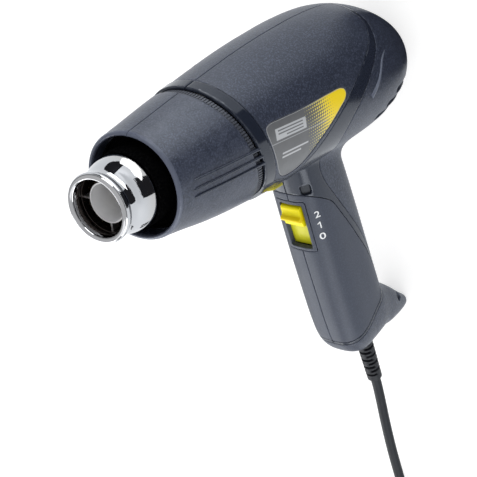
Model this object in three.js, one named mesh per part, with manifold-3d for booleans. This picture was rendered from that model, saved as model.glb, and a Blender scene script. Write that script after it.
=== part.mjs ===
// Hot air tool standing on its rear cap and on the heel of its handle.
// Millimetres. Z runs along the barrel to the nozzle, the handle points to -X,
// the label side faces -Y. The rest plane is z = 0 and the barrel axis is x = y = 0.
import * as THREE from 'three';
import * as BufferGeometryUtils from 'three/addons/utils/BufferGeometryUtils.js';
import Module from 'manifold-3d';

const wasm = await Module();
wasm.setup();

// Driving sizes
const toolLength = 255;
const seamGap = 0.3;
const wall = 2.6;
const skin = 1.2;
const skinSeat = skin + seamGap;
const barrelFront = 226;
const bodySides = 28;
const hollowSides = 20;
const handleSides = 18;
const handleHollowSides = 12;
const screwSides = 8;

// Handle frame: a point down the handle, the lean, and the two directions in the mid-plane
const handleRootX = -58.5;
const handleRootZ = 77.5;
const handleLean = THREE.MathUtils.degToRad(16.2);
const downX = -Math.cos(handleLean);
const downZ = -Math.sin(handleLean);
const frontX = -Math.sin(handleLean);
const frontZ = Math.cos(handleLean);
const boxSpan = 70;
const shortEdge = 0.02;

// Nozzle and hot end
const boreRadius = 14.9;
const lipRadius = 18.5;
const waistRadius = 17.2;
const nozzleBaseRadius = 20.2;
const nozzleSheet = 0.9;
const tailRadius = nozzleBaseRadius - 0.6;
const sleeveRadius = nozzleBaseRadius + 0.7;
const nozzleFoot = 192;
const mouthRadius = 27.6;
const hollowRadius = mouthRadius - 1.4;
const linerRadius = hollowRadius - 2 * seamGap;

// Cord and plug
const cordRadius = 3.0;
const cordPitch = 6.55;
const cordLayer = 6.8;
const cordFloor = cordRadius + 0.06;
const coilX = -362;
const coilY = 24.2;
const coilRadius = 46.5;
const coilTurnsPerLayer = 3.25;
const climbDip = 0.8;
const coilStepsPerTurn = 24;
const tailRun = 13;
const plugAxisZ = 11.1;

// Materials
function paint(colour, roughness, metalness) {
  return () => new THREE.MeshStandardMaterial({ color: colour, roughness, metalness });
}
const slateTextured = paint(0x4a5060, 0.55, 0);
const slateGlossy = paint(0x3a404f, 0.25, 0);
const slateGrip = paint(0x535968, 0.5, 0);
const blackPlastic = paint(0x101113, 0.6, 0);
const blackRubber = paint(0x1b1c1e, 0.75, 0);
const yellowPlastic = paint(0xf0dc20, 0.4, 0);
const chrome = paint(0xd8d8da, 0.08, 1);
const steel = paint(0x9a9ca0, 0.35, 1);
const brass = paint(0xb89a4a, 0.35, 1);
const copper = paint(0xa8623a, 0.4, 1);
const ceramic = paint(0xd8d2c4, 0.85, 0);
const mica = paint(0xb9a67a, 0.6, 0);
const labelGrey = paint(0x84868a, 0.4, 0);
const motorBlack = paint(0x232427, 0.45, 0.4);
const fanWhite = paint(0xc8cac4, 0.5, 0);
const cordGrey = paint(0x24262a, 0.6, 0);

const group = new THREE.Group();
group.name = 'hot_air_tool';

// Turning meshes into solids and back
function signedVolume(points, faces) {
  let total = 0;
  for (const [a, b, c] of faces) {
    const p = points[a];
    const q = points[b];
    const r = points[c];
    total += p[0] * (q[1] * r[2] - q[2] * r[1])
      - p[1] * (q[0] * r[2] - q[2] * r[0])
      + p[2] * (q[0] * r[1] - q[1] * r[0]);
  }
  return total;
}

function solidFrom(points, faces) {
  const flip = signedVolume(points, faces) < 0;
  const triVerts = new Uint32Array(faces.length * 3);
  faces.forEach(([a, b, c], i) => triVerts.set(flip ? [a, c, b] : [a, b, c], i * 3));
  const mesh = new wasm.Mesh({ numProp: 3, vertProperties: new Float32Array(points.flat()), triVerts });
  return new wasm.Manifold(mesh);
}

function solidOf(geometry) {
  const bare = new THREE.BufferGeometry();
  bare.setAttribute('position', geometry.getAttribute('position'));
  bare.setIndex(geometry.getIndex());
  const merged = BufferGeometryUtils.mergeVertices(bare, 1e-4);
  const position = merged.getAttribute('position');
  const points = [];
  for (let i = 0; i < position.count; i += 1) {
    points.push([position.getX(i), position.getY(i), position.getZ(i)]);
  }
  const index = merged.getIndex().array;
  const faces = [];
  for (let i = 0; i < index.length; i += 3) {
    const [a, b, c] = [index[i], index[i + 1], index[i + 2]];
    if (a !== b && b !== c && c !== a) {
      faces.push([a, b, c]);
    }
  }
  return solidFrom(points, faces);
}

function geometryOf(solid) {
  const mesh = solid.getMesh();
  const stride = mesh.numProp;
  const flat = new Float32Array(mesh.vertProperties.length / stride * 3);
  for (let i = 0; i < flat.length / 3; i += 1) {
    flat.set(mesh.vertProperties.slice(i * stride, i * stride + 3), i * 3);
  }
  const geometry = new THREE.BufferGeometry();
  geometry.setAttribute('position', new THREE.BufferAttribute(flat, 3));
  geometry.setIndex(new THREE.BufferAttribute(new Uint32Array(mesh.triVerts), 1));
  geometry.computeVertexNormals();
  return geometry;
}

function addNode(name, shape, material, parent = group) {
  const geometry = shape.isBufferGeometry ? shape : geometryOf(shape);
  const mesh = new THREE.Mesh(geometry, material());
  mesh.name = name;
  parent.add(mesh);
  return mesh;
}

function loft(rings) {
  const count = rings[0].length;
  const points = rings.flat();
  const faces = [];
  for (let i = 0; i < rings.length - 1; i += 1) {
    for (let k = 0; k < count; k += 1) {
      const a = i * count + k;
      const b = i * count + (k + 1) % count;
      faces.push([a, b, b + count], [a, b + count, a + count]);
    }
  }
  const middle = (ring) => [0, 1, 2].map((axis) => ring.reduce((sum, p) => sum + p[axis], 0) / count);
  const first = points.push(middle(rings[0])) - 1;
  const last = points.push(middle(rings[rings.length - 1])) - 1;
  const lastRow = (rings.length - 1) * count;
  for (let k = 0; k < count; k += 1) {
    faces.push([first, (k + 1) % count, k], [last, lastRow + k, lastRow + (k + 1) % count]);
  }
  return solidFrom(points, faces);
}

function superEllipse(halfA, halfB, power, sides) {
  const outline = [];
  for (let k = 0; k < sides; k += 1) {
    const angle = (k + 0.5) / sides * Math.PI * 2;
    const c = Math.cos(angle);
    const s = Math.sin(angle);
    outline.push([
      halfA * Math.sign(c) * Math.abs(c) ** (2 / power),
      halfB * Math.sign(s) * Math.abs(s) ** (2 / power),
    ]);
  }
  return outline;
}

// A solid of an outline drawn in the mid-plane, x and z, reaching from y0 to y1
function prism(drawn, y0, y1) {
  const turned = THREE.ShapeUtils.area(drawn.map(([x, z]) => new THREE.Vector2(x, z))) < 0;
  const outline = turned ? [...drawn].reverse() : drawn;
  const flat = outline.map(([x, z]) => new THREE.Vector2(x, z));
  const points = [...outline.map(([x, z]) => [x, y0, z]), ...outline.map(([x, z]) => [x, y1, z])];
  const count = outline.length;
  const faces = [];
  for (const [a, b, c] of THREE.ShapeUtils.triangulateShape(flat, [])) {
    faces.push([a, c, b], [a + count, b + count, c + count]);
  }
  for (let k = 0; k < count; k += 1) {
    const n = (k + 1) % count;
    faces.push([k, n, n + count], [k, n + count, k + count]);
  }
  return solidFrom(points, faces);
}

// The same outline drawn wider all round by the given distance
function inflate(outline, by) {
  const flat = outline.map(([x, z]) => new THREE.Vector2(x, z));
  const sense = THREE.ShapeUtils.area(flat) > 0 ? 1 : -1;
  return flat.map((p, i) => {
    const before = flat[(i + flat.length - 1) % flat.length];
    const after = flat[(i + 1) % flat.length];
    const u = p.clone().sub(before).normalize();
    const v = after.clone().sub(p).normalize();
    const normal = new THREE.Vector2(u.y + v.y, -u.x - v.x).normalize();
    const stretch = Math.min(2, 1 / Math.max(0.5, normal.dot(new THREE.Vector2(u.y, -u.x))));
    return [p.x + normal.x * by * stretch * sense, p.y + normal.y * by * stretch * sense];
  });
}

function boxSolid(x0, x1, y0, y1, z0, z1) {
  return prism([[x0, z0], [x1, z0], [x1, z1], [x0, z1]], y0, y1);
}

function lathe(profile, sides = 32) {
  const geometry = new THREE.LatheGeometry(profile.map(([r, z]) => new THREE.Vector2(r, z)), sides);
  geometry.rotateX(Math.PI / 2);
  return solidOf(geometry);
}

function tube(outer, inner, z0, z1, sides = 32) {
  return lathe([[inner, z0], [outer, z0], [outer, z1], [inner, z1], [inner, z0]], sides);
}

function disc(radius, z0, z1, sides = 32) {
  return lathe([[0, z0], [radius, z0], [radius, z1], [0, z1]], sides);
}

// A round bar between two heights that stands at x, y
function post(x, y, radius, z0, z1, sides = 24) {
  return disc(radius, z0, z1, sides).translate([x, y, 0]);
}

// A round bar across the tool, along Y
function crossBar(x, z, radius, y0, y1, sides = 10) {
  const geometry = new THREE.CylinderGeometry(radius, radius, y1 - y0, sides);
  return solidOf(geometry).translate([x, (y0 + y1) / 2, z]);
}

function union(pieces) {
  return pieces.reduce((sum, piece) => sum.add(piece));
}

// Handle frame helpers: s runs down the handle, t towards its front
function handlePoint(s, t) {
  return [handleRootX + s * downX + t * frontX, handleRootZ + s * downZ + t * frontZ];
}

function handleBox(s0, s1, t0, t1, y0, y1) {
  return prism([handlePoint(s0, t0), handlePoint(s1, t0), handlePoint(s1, t1), handlePoint(s0, t1)], y0, y1);
}

function handlePin(s, y, radius, t0, t1) {
  const geometry = new THREE.CylinderGeometry(radius, radius, t1 - t0, screwSides);
  const [x, z] = handlePoint(s, (t0 + t1) / 2);
  const lean = THREE.MathUtils.radToDeg(Math.atan2(frontX, frontZ));
  return solidOf(geometry).rotate([90, 0, 0]).rotate([0, lean, 0]).translate([x, y, z]);
}

function handleLathe(profile, t, sides) {
  const lean = Math.atan2(downX, downZ) * 180 / Math.PI;
  const [x, z] = handlePoint(0, t);
  return lathe(profile, sides).rotate([0, lean, 0]).translate([x, 0, z]);
}

// Body section at each height: height, centre, half height along X, half width along Y
const bodyStations = [
  [0, -6.9, 12.3, 14],
  [2, -6.9, 16.6, 19],
  [6, -6.8, 21, 23.5],
  [12, -6.6, 25.3, 28],
  [20, -6, 29.6, 31.9],
  [30, -5.1, 33.7, 35],
  [42, -4, 36.9, 36.8],
  [56, -2.8, 38.8, 37.8],
  [70, -2.1, 39.6, 38],
  [86, -1.7, 40, 37.8],
  [104, -1.6, 40, 37.1],
  [122, -1.5, 39.5, 36.4],
  [140, -1.5, 38.5, 35.4],
  [156, -1.5, 37.2, 34.4],
  [172, -1.5, 35.7, 33.4],
  [190, -1.2, 33.7, 32.2],
  [210, -0.5, 30.8, 30.2],
  [223, -0.1, 29, 29],
  [225, 0, 28.5, 28.5],
  [barrelFront, 0, mouthRadius, mouthRadius],
];

function sectionAt(z) {
  const last = bodyStations.length - 1;
  if (z >= bodyStations[last][0]) {
    return bodyStations[last].slice(1);
  }
  const i = Math.max(0, bodyStations.findIndex((row) => row[0] > z) - 1);
  const [a, b] = [bodyStations[i], bodyStations[i + 1]];
  const f = THREE.MathUtils.clamp((z - a[0]) / (b[0] - a[0]), 0, 1);
  return [1, 2, 3].map((k) => a[k] + (b[k] - a[k]) * f);
}

const domeEnd = 50;
function bodySolid(inset) {
  const deep = inset >= wall;
  const heights = bodyStations
    .map((row) => row[0])
    .filter((z, i) => z > inset + 0.05 && (!deep || i % 2 === 1));
  heights.unshift(Math.max(0, inset));
  const rings = heights.map((z) => {
    const source = z < domeEnd ? z - inset * (1 - z / domeEnd) : z;
    const [cx, hx, hy] = sectionAt(Math.max(0, source));
    let [a, b] = [hx - inset, hy - inset];
    if (deep && z > 214) {
      [a, b] = [hollowRadius - inset + wall, hollowRadius - inset + wall];
    }
    return superEllipse(a, b, 2.05, deep ? hollowSides : bodySides).map(([x, y]) => [cx + x, y, z]);
  });
  if (inset > 0) {
    rings.push(rings[rings.length - 1].map(([x, y]) => [x, y, barrelFront + 5]));
  }
  return loft(rings);
}

// Handle section down its length: distance, centre, half depth, half width
const handleStations = [
  [-34, 0, 20.5, 16],
  [-6, 0, 21.2, 16.6],
  [20, 0.1, 21.8, 17],
  [50, 0.2, 22.2, 17.2],
  [85, 0, 22.2, 17.4],
  [100, -0.4, 22, 17.2],
  [108, -0.8, 21.2, 16.6],
  [115, -1.6, 19.2, 15],
  [120, -2.6, 16, 12.4],
  [123, -3.6, 12.6, 9.6],
  [124.6, -4.4, 9, 6.8],
];

function handleSolid(inset) {
  const rings = handleStations.map(([s, c, depth, width]) => {
    const along = s > 100 ? s - inset : s;
    const sides = inset >= wall ? handleHollowSides : handleSides;
    return superEllipse(depth - inset, width - inset, 2.9, sides).map(([t, y]) => {
      const [x, z] = handlePoint(along, c + t);
      return [x, y, z];
    });
  });
  return loft(rings);
}

// Heel section towards its tip: front distance, start, end, half width
const heelStations = [
  [-4, 88, 121, 14],
  [-14, 90, 125, 15.2],
  [-20, 94.6, 127.8, 15],
  [-27, 102.6, 129.8, 14],
  [-33, 111, 131.2, 12.6],
  [-38, 118, 131.9, 11.2],
  [-42, 122.8, 132, 9.8],
  [-46.4, 126.6, 131.2, 8],
];

function heelSolid(inset) {
  const rings = heelStations.map(([t, s0, s1, width], i) => {
    const shift = i > 4 ? inset * 1.6 : 0;
    const half = (s1 - s0) / 2 - inset;
    const sides = inset >= wall ? handleHollowSides : handleSides;
    return superEllipse(Math.max(0.6, half), width - inset, 2.6, sides).map(([s, y]) => {
      const [x, z] = handlePoint((s0 + s1) / 2 + s, t + shift);
      return [x, y, z];
    });
  });
  return loft(rings);
}

const aboveFloor = (height) => boxSolid(-240, 90, -90, 90, height, 300);

function outerForm(inset) {
  const pieces = [bodySolid(inset), handleSolid(inset), heelSolid(inset)];
  return union(pieces).intersect(aboveFloor(Math.max(0, inset)));
}

const outer = outerForm(0);
const hollow = outerForm(wall);
const belowSkin = outerForm(skin);
const belowSeat = outerForm(skinSeat);

// The slanted slices that carry the groove ring and the collar ring
const slant = 0.355;
function slantedSlice(z0, z1) {
  return prism([
    [-boxSpan, z0 - slant * boxSpan],
    [boxSpan, z0 + slant * boxSpan],
    [boxSpan, z1 + slant * boxSpan],
    [-boxSpan, z1 - slant * boxSpan],
  ], -boxSpan, boxSpan);
}

const grooveFront = 170;
const grooveRear = 165.3;
const collarRear = 156.3;
const ringDepth = 3.2;
const stiffenerDepth = 4.6;

// The shell with an inner stiffening ring under the groove
const shell = outer.subtract(hollow);
const stiffener = bodySolid(wall - 0.1)
  .subtract(bodySolid(stiffenerDepth))
  .intersect(slantedSlice(collarRear - 2, grooveFront + 3));
const stiffShell = shell.add(stiffener);

// Rear shell: the cap, the back of the handle and the heel behind one curved seam
const rearOutline = [
  [60, 38],
  [34, 39],
  [29, 40.4],
  [24.7, 42.3],
  [20.8, 45.7],
  [16.1, 49.8],
  [11.7, 55.1],
  [5.8, 62.3],
  [0.3, 68.6],
  [-5.4, 74.9],
  [-10.9, 81],
  [-18.3, 86.6],
  [-27, 88.6],
  [-36, 89],
  [-44.1, 88.6],
  [-48.2, 87.4],
  [-52.3, 85.6],
  [-60.6, 80.3],
  [-70.4, 73.4],
  [-83.5, 64],
  [-97.8, 54.2],
  [-112, 46.2],
  [-130, 37.9],
  [-141, 34.4],
  [-148, 36.4],
  [-152.4, 43.6],
  [-158, 50.6],
  [-163.2, 57.8],
  [-167.6, 66],
  [-171, 80],
  [-185, 100],
  [-240, 100],
  [-240, -8],
  [60, -8],
];
const rearCut = prism(inflate(rearOutline, seamGap / 2), -boxSpan, boxSpan);
const rearSpace = prism(inflate(rearOutline, -seamGap / 2), -boxSpan, boxSpan);

// Textured top panel outline on both sides of the seam
const panelOutline = [
  [60, 41.5],
  [34, 42.4],
  [30, 43.4],
  [26.4, 45.4],
  [22.4, 50.5],
  [18.5, 56.1],
  [15.8, 60.8],
  [12, 68],
  [7, 77],
  [2.2, 84.2],
  [-1.6, 89.6],
  [-6.8, 96.8],
  [-13, 105],
  [-19.4, 113],
  [-24.9, 120.1],
  [-28.4, 125.4],
  [-29.6, 131],
  [-28.2, 138],
  [-25.6, 144.2],
  [-24.4, collarRear - slant * 24.4 - 0.6],
  [60, collarRear + slant * 60 - 0.6],
];

// Label outline in the panel's lower corner
const labelOutline = [
  [9.9, 154.4],
  [8.4, 156.6],
  [4, 156.3],
  [-1, 154.8],
  [-9.6, 151.6],
  [-19.1, 146.8],
  [-23.4, 143],
  [-26.2, 137.3],
  [-26.6, 131.2],
  [-25, 126],
  [-21.2, 120.8],
  [-15.2, 113.6],
  [-8.5, 103.6],
  [-2.9, 95.5],
  [0.6, 90.2],
  [3, 88.7],
  [5.8, 89.3],
  [7.5, 92],
  [8.2, 102],
  [8.5, 116.3],
  [8.8, 129.6],
  [9.5, 141.5],
];

// Grip panel outline over the front and sides of the handle
const gripOutline = [
  [-50, 128],
  [-57.6, 100],
  [-58.6, 96],
  [-63, 86.9],
  [-67.1, 80.8],
  [-76.5, 73.6],
  [-86.3, 66.6],
  [-100.2, 57.2],
  [-112.6, 48.6],
  [-130.4, 39.9],
  [-140.8, 36.9],
  [-146.6, 38.8],
  [-150.8, 45.4],
  [-156.4, 52.4],
  [-161.4, 59.4],
  [-165.4, 67],
  [-168, 80],
  [-162, 128],
];

// Underside inlay on the belly in front of the handle
const inlayOutline = [
  [-60, 108],
  [-30, 108],
  [-30, 131],
  [-60, 131],
];

function skinPiece(outline, top = 0) {
  return outerForm(top).subtract(belowSkin).intersect(prism(inflate(outline, -seamGap / 2), -boxSpan, boxSpan));
}

function skinSeatCut(outline, reach = belowSeat) {
  return outerForm(-2).subtract(reach).intersect(prism(inflate(outline, seamGap / 2), -boxSpan, boxSpan));
}

// Slide switch window in the handle front
const sliderFace = 18.2;
const windowTop = 1;
const windowEnd = 30.6;
const windowHalf = 6.6;
const bezelRim = 2.8;
const windowCut = handleBox(windowTop, windowEnd, 12, 40, -windowHalf, windowHalf);
const bezelSpace = handleBox(
  windowTop - bezelRim,
  windowEnd + bezelRim,
  12,
  40,
  -windowHalf - bezelRim,
  windowHalf + bezelRim,
);
const bezelCut = handleBox(
  windowTop - bezelRim - seamGap,
  windowEnd + bezelRim + seamGap,
  12,
  40,
  -windowHalf - bezelRim - seamGap,
  windowHalf + bezelRim + seamGap,
);

const sliderHalf = windowHalf + 1.2;
const sliderPocket = handleBox(-15, 46, 14, sliderFace + seamGap, -sliderHalf - seamGap, sliderHalf + seamGap);

// Screws that clamp the two half shells: x, z, and the depth where the head sits
const screwPlaces = [
  { name: 'screw_top_front', x: 28.5, z: 146, head: 16 },
  { name: 'screw_top_rear', x: 29.5, z: 104, head: 16 },
  { name: 'screw_belly', x: -31.5, z: 134, head: 14 },
  { name: 'screw_grip_upper', x: handlePoint(56, -7.5)[0], z: handlePoint(56, -7.5)[1], head: 9 },
  { name: 'screw_grip_lower', x: handlePoint(92, 6)[0], z: handlePoint(92, 6)[1], head: 9 },
];
const bossRadius = 3.7;
const screwHole = 1.75;
const screwHeadHole = 3.3;
const bossReach = 34;
const innerFill = outerForm(0.6);

// Boot hole at the end of the handle
const bootAxis = -5.8;
const bootRadius = 5.1;
const bootHole = bootRadius + seamGap + 0.1;
const bootCut = handleLathe([[0, 104], [bootHole, 104], [bootHole, 134], [0, 134]], bootAxis, 20);
const bootSeat = handleLathe([[0, 105], [8.2, 105], [8.2, 109.2], [0, 109.2]], bootAxis, 20);
const bootCollar = handleLathe([[0, 104], [10.2, 104], [10.2, 119], [0, 119]], bootAxis, 20);

let housing = stiffShell.subtract(rearCut);
housing = housing.add(bootCollar.intersect(outerForm(1)));
housing = housing.subtract(bootCut);
housing = housing.subtract(bootSeat);
housing = housing.subtract(skinSeatCut(panelOutline));
housing = housing.subtract(skinSeatCut(gripOutline));
const inlaySeat = outerForm(0.9);
const inlayWidth = 15;
const inlaySlice = boxSolid(-60, -20, -inlayWidth, inlayWidth, 90, 150);
const inlaySliceCut = boxSolid(-60, -20, -inlayWidth - seamGap, inlayWidth + seamGap, 90, 150);
housing = housing.subtract(skinSeatCut(inlayOutline, inlaySeat).intersect(inlaySliceCut));
housing = housing.subtract(
  bodySolid(-2).subtract(bodySolid(ringDepth)).intersect(slantedSlice(grooveRear, grooveFront)),
);
housing = housing.subtract(
  bodySolid(-2).subtract(bodySolid(skinSeat)).intersect(slantedSlice(collarRear, grooveRear + 0.01)),
);
housing = housing.subtract(bezelCut).subtract(sliderPocket);

// Three long ribs on each side of the barrel, from the groove forwards
const ribLines = [[1.2, 3.9], [-3.4, -0.9], [-7.9, -5]];
const ribHalf = 0.7;
const ribRise = 0.6;
for (const [xFoot, xTip] of ribLines) {
  const strip = prism([
    [xFoot - ribHalf, grooveFront + 1],
    [xFoot + ribHalf, grooveFront + 1],
    [xTip + ribHalf, 214],
    [xTip, 215.4],
    [xTip - ribHalf, 214],
  ], -boxSpan, boxSpan);
  housing = housing.add(bodySolid(-ribRise).subtract(bodySolid(1)).intersect(strip));
}

function half(solid, side) {
  const slab = side < 0
    ? boxSolid(-260, 110, -100, -seamGap / 2, -20, 320)
    : boxSolid(-260, 110, seamGap / 2, 100, -20, 320);
  return solid.intersect(slab);
}

// The largest connected part, without the slivers that cutting can leave
function mainPart(solid) {
  const parts = solid.decompose();
  const best = parts.reduce((found, part) => (part.volume() > found.volume() ? part : found));
  return best.simplify(shortEdge);
}

let housingLeft = half(housing, -1);
let housingRight = half(housing, 1);
for (const { x, z } of screwPlaces) {
  const rightBoss = crossBar(x, z, bossRadius, seamGap / 2, bossReach);
  const leftBoss = crossBar(x, z, bossRadius, -bossReach, -seamGap / 2);
  housingRight = housingRight.add(rightBoss.intersect(innerFill));
  housingLeft = housingLeft.add(leftBoss.intersect(belowSeat));
}
for (const { x, z, head } of screwPlaces) {
  housingRight = housingRight.subtract(crossBar(x, z, screwHole, -1, bossReach));
  housingRight = housingRight.subtract(crossBar(x, z, screwHeadHole, head, 60));
  housingLeft = housingLeft.subtract(crossBar(x, z, screwHole, -7.2, 1));
}
addNode('housing_left', mainPart(housingLeft), slateGlossy);
addNode('housing_right', mainPart(housingRight), slateGlossy);

const labelSeat = outerForm(0.75);
const topPanel = skinPiece(panelOutline).subtract(skinSeatCut(labelOutline, labelSeat));
let panelRight = half(topPanel, 1);
const gripPanel = skinPiece(gripOutline).subtract(bezelCut);
let gripRight = half(gripPanel, 1);
for (const { x, z } of screwPlaces) {
  const opening = crossBar(x, z, screwHeadHole + 0.6, 4, 60);
  panelRight = panelRight.subtract(opening);
  gripRight = gripRight.subtract(opening);
}
addNode('top_panel_left', mainPart(half(topPanel, -1)), slateTextured);
addNode('top_panel_right', mainPart(panelRight), slateTextured);
addNode('grip_panel_left', mainPart(half(gripPanel, -1)), slateGrip);
addNode('grip_panel_right', mainPart(gripRight), slateGrip);

// Groove ring with fine axial ribs and the smooth collar ring in two halves
const grooveRing = bodySolid(1.5)
  .subtract(bodySolid(ringDepth - seamGap))
  .intersect(slantedSlice(grooveRear + seamGap, grooveFront - seamGap));
addNode('groove_ring', mainPart(grooveRing), blackRubber);
const collarRing = bodySolid(-0.5)
  .subtract(bodySolid(skin))
  .intersect(slantedSlice(collarRear + seamGap, grooveRear - seamGap / 2));
addNode('collar_left', mainPart(half(collarRing, -1)), slateGlossy);
addNode('collar_right', mainPart(half(collarRing, 1)), slateGlossy);

// Labels, one on each side, and the yellow inlay under the belly
const labelPiece = outerForm(0)
  .subtract(outerForm(0.45))
  .intersect(prism(inflate(labelOutline, -seamGap / 2), -boxSpan, boxSpan));
addNode('label_left', mainPart(half(labelPiece, -1)), labelGrey);
addNode('label_right', mainPart(half(labelPiece, 1)), labelGrey);
const inlayPiece = outerForm(-2.2)
  .subtract(outerForm(0.6))
  .intersect(prism(inflate(inlayOutline, -seamGap / 2), -boxSpan, boxSpan))
  .intersect(inlaySlice);
addNode('belly_inlay', mainPart(inlayPiece), yellowPlastic);

// Rear shell with the air intake slots low on its dome
const slotRows = [[-17.3, 33], [-23.9, 37], [-30.4, 43]];
const slotHalf = 1.6;
const slotInner = 2.5;
const slotOuter = 60;
let rearShell = shell.add(bootCollar.intersect(outerForm(1))).intersect(rearSpace);
rearShell = rearShell.subtract(bootCut).subtract(bootSeat);
for (const [x, top] of slotRows) {
  for (const side of [-1, 1]) {
    const [y0, y1] = side < 0 ? [-slotOuter, -slotInner] : [slotInner, slotOuter];
    rearShell = rearShell.subtract(boxSolid(x - slotHalf, x + slotHalf, y0, y1, -1, top));
  }
}
addNode('rear_shell', mainPart(rearShell), slateTextured);

// Guard mesh disc behind the slots
const guardLow = 27;
const guardHigh = 28.6;
let guard = bodySolid(wall + seamGap).intersect(boxSolid(-60, 60, -60, 60, guardLow, guardHigh));
const guardSlots = 10;
for (let k = 0; k < guardSlots; k += 1) {
  const opening = boxSolid(8, 25, -2.2, 2.2, guardLow - 1, guardHigh + 1);
  guard = guard.subtract(opening.rotate([0, 0, k * 360 / guardSlots]).translate([-4, 0, 0]));
}
addNode('intake_guard', mainPart(guard), blackPlastic);

// Fan and motor
const shaftRadius = 1.6;
const fanRadius = 26.5;
const fanLow = 38;
const fanBack = 39.6;
const fanHigh = 50;
const bladeCount = 9;
let impeller = union([
  disc(fanRadius, fanLow, fanBack, 24),
  disc(5.2, fanLow + 0.5, fanHigh + 2, 16),
  disc(shaftRadius, fanLow + 0.5, 124, 12),
]);
for (let k = 0; k < bladeCount; k += 1) {
  const blade = boxSolid(9, fanRadius - 0.8, -0.8, 0.8, fanBack - 0.5, fanHigh)
    .rotate([0, 0, 18])
    .translate([2.2, -4.4, 0])
    .rotate([0, 0, k * 360 / bladeCount]);
  impeller = impeller.add(blade);
}
impeller = impeller.intersect(disc(fanRadius, 0, 200, 24));
impeller = impeller.add(disc(11.5, 70, 98, 16));
addNode('fan_rotor', impeller, fanWhite);

const motorRadius = 17.2;
const motorLow = 58;
const motorHigh = 106;
addNode('motor_can', lathe([
  [shaftRadius + 0.5, motorLow],
  [motorRadius - 1.2, motorLow],
  [motorRadius, motorLow + 1.2],
  [motorRadius, motorHigh],
  [motorRadius - 1.3, motorHigh],
  [motorRadius - 1.3, motorLow + 1.4],
  [shaftRadius + 0.5, motorLow + 1.4],
  [shaftRadius + 0.5, motorLow],
], 20), motorBlack);
addNode('motor_bell', lathe([
  [shaftRadius + 0.5, motorHigh + 0.3],
  [motorRadius, motorHigh + 0.3],
  [motorRadius, motorHigh + 2.2],
  [6, motorHigh + 2.2],
  [5, motorHigh + 5],
  [shaftRadius + 0.5, motorHigh + 5],
  [shaftRadius + 0.5, motorHigh + 0.3],
], 20), blackPlastic);
for (const side of [-1, 1]) {
  const magnet = tube(motorRadius - 1.6, 12.3, 66, 100, 24)
    .intersect(boxSolid(-40, 40, side < 0 ? -40 : 5, side < 0 ? -5 : 40, 60, 110));
  addNode(side < 0 ? 'magnet_left' : 'magnet_right', mainPart(magnet), motorBlack);
}

// Motor mount ring with four arms that reach the body wall
const mountLow = 92.5;
const mountHigh = 97;
let mount = tube(motorRadius + 3.3, motorRadius + 0.3, mountLow, mountHigh, 24);
for (let k = 0; k < 4; k += 1) {
  mount = mount.add(boxSolid(motorRadius + 2, 60, -2.2, 2.2, mountLow, mountHigh).rotate([0, 0, 45 + k * 90]));
}
mount = mount.intersect(bodySolid(wall + seamGap));
addNode('motor_mount', mainPart(mount), blackPlastic);

// Fan shroud between the impeller and the motor
const shroud = bodySolid(wall + seamGap)
  .intersect(boxSolid(-60, 60, -60, 60, 52.5, 54.3))
  .subtract(disc(21, 50, 60, 24));
addNode('fan_shroud', mainPart(shroud), blackPlastic);

// Duct, heater and the tubes round it
const ductSolid = lathe([
  [22.4, 118],
  [25.2, 118],
  [25.2, 119.4],
  [23.6, 121],
  [23.6, 146],
  [22.4, 146],
  [22.4, 118],
], 24);
addNode('air_duct', ductSolid, blackPlastic);
let ductStay = tube(26.4, 23.9, 132, 136, 24);
for (let k = 0; k < 4; k += 1) {
  ductStay = ductStay.add(boxSolid(25, 60, -1.8, 1.8, 132, 136).rotate([0, 0, 45 + k * 90]));
}
ductStay = ductStay.intersect(bodySolid(wall + seamGap));
addNode('duct_stay', mainPart(ductStay), blackPlastic);
addNode('heat_tube', tube(22.9, 22.2, 146.3, 205.7, 24), steel);
addNode('barrel_liner', lathe([
  [tailRadius + seamGap, 206],
  [linerRadius, 206],
  [linerRadius, 219],
  [linerRadius - 1.1, 219],
  [linerRadius - 1.1, 216],
  [sleeveRadius, 216],
  [sleeveRadius, 231.6],
  [tailRadius + seamGap, 231.6],
  [tailRadius + seamGap, 206],
], 28), blackPlastic);
addNode('mica_tube', tube(18.3, 17.7, 150, 216, 24), mica);
let core = disc(4.2, 151, 214, 16);
for (let k = 0; k < 3; k += 1) {
  core = core.add(boxSolid(-13, 13, -1.2, 1.2, 151, 214).rotate([0, 0, k * 60]));
}
addNode('heater_core', core, ceramic);
addNode('heater_base', tube(22.2, 14.5, 141, 145, 24).add(boxSolid(-15, 15, -2.2, 2.2, 141, 145)), ceramic);
addNode('heater_base_post', disc(3, 145.3, 150.7, 16), steel);

const coilWireRadius = 0.8;
const coilWireMid = 14.6;
const coilWireTurns = 4;
class Winding extends THREE.Curve {
  getPoint(u, target = new THREE.Vector3()) {
    const angle = u * coilWireTurns * Math.PI * 2;
    return target.set(coilWireMid * Math.cos(angle), coilWireMid * Math.sin(angle), 156 + 52 * u);
  }
}
const wireSection = new THREE.Shape();
for (let k = 0; k < 6; k += 1) {
  const angle = k / 6 * Math.PI * 2;
  const [x, y] = [coilWireRadius * Math.cos(angle), coilWireRadius * Math.sin(angle)];
  if (k === 0) {
    wireSection.moveTo(x, y);
  } else {
    wireSection.lineTo(x, y);
  }
}
wireSection.closePath();
const winding = new THREE.ExtrudeGeometry(wireSection, {
  steps: coilWireTurns * 12,
  extrudePath: new Winding(),
});
addNode('heater_winding', solidOf(winding), copper);
addNode('thermal_cutout', boxSolid(-2, 2, 15.8, 20, 128.7, 140.7), brass);

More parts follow.
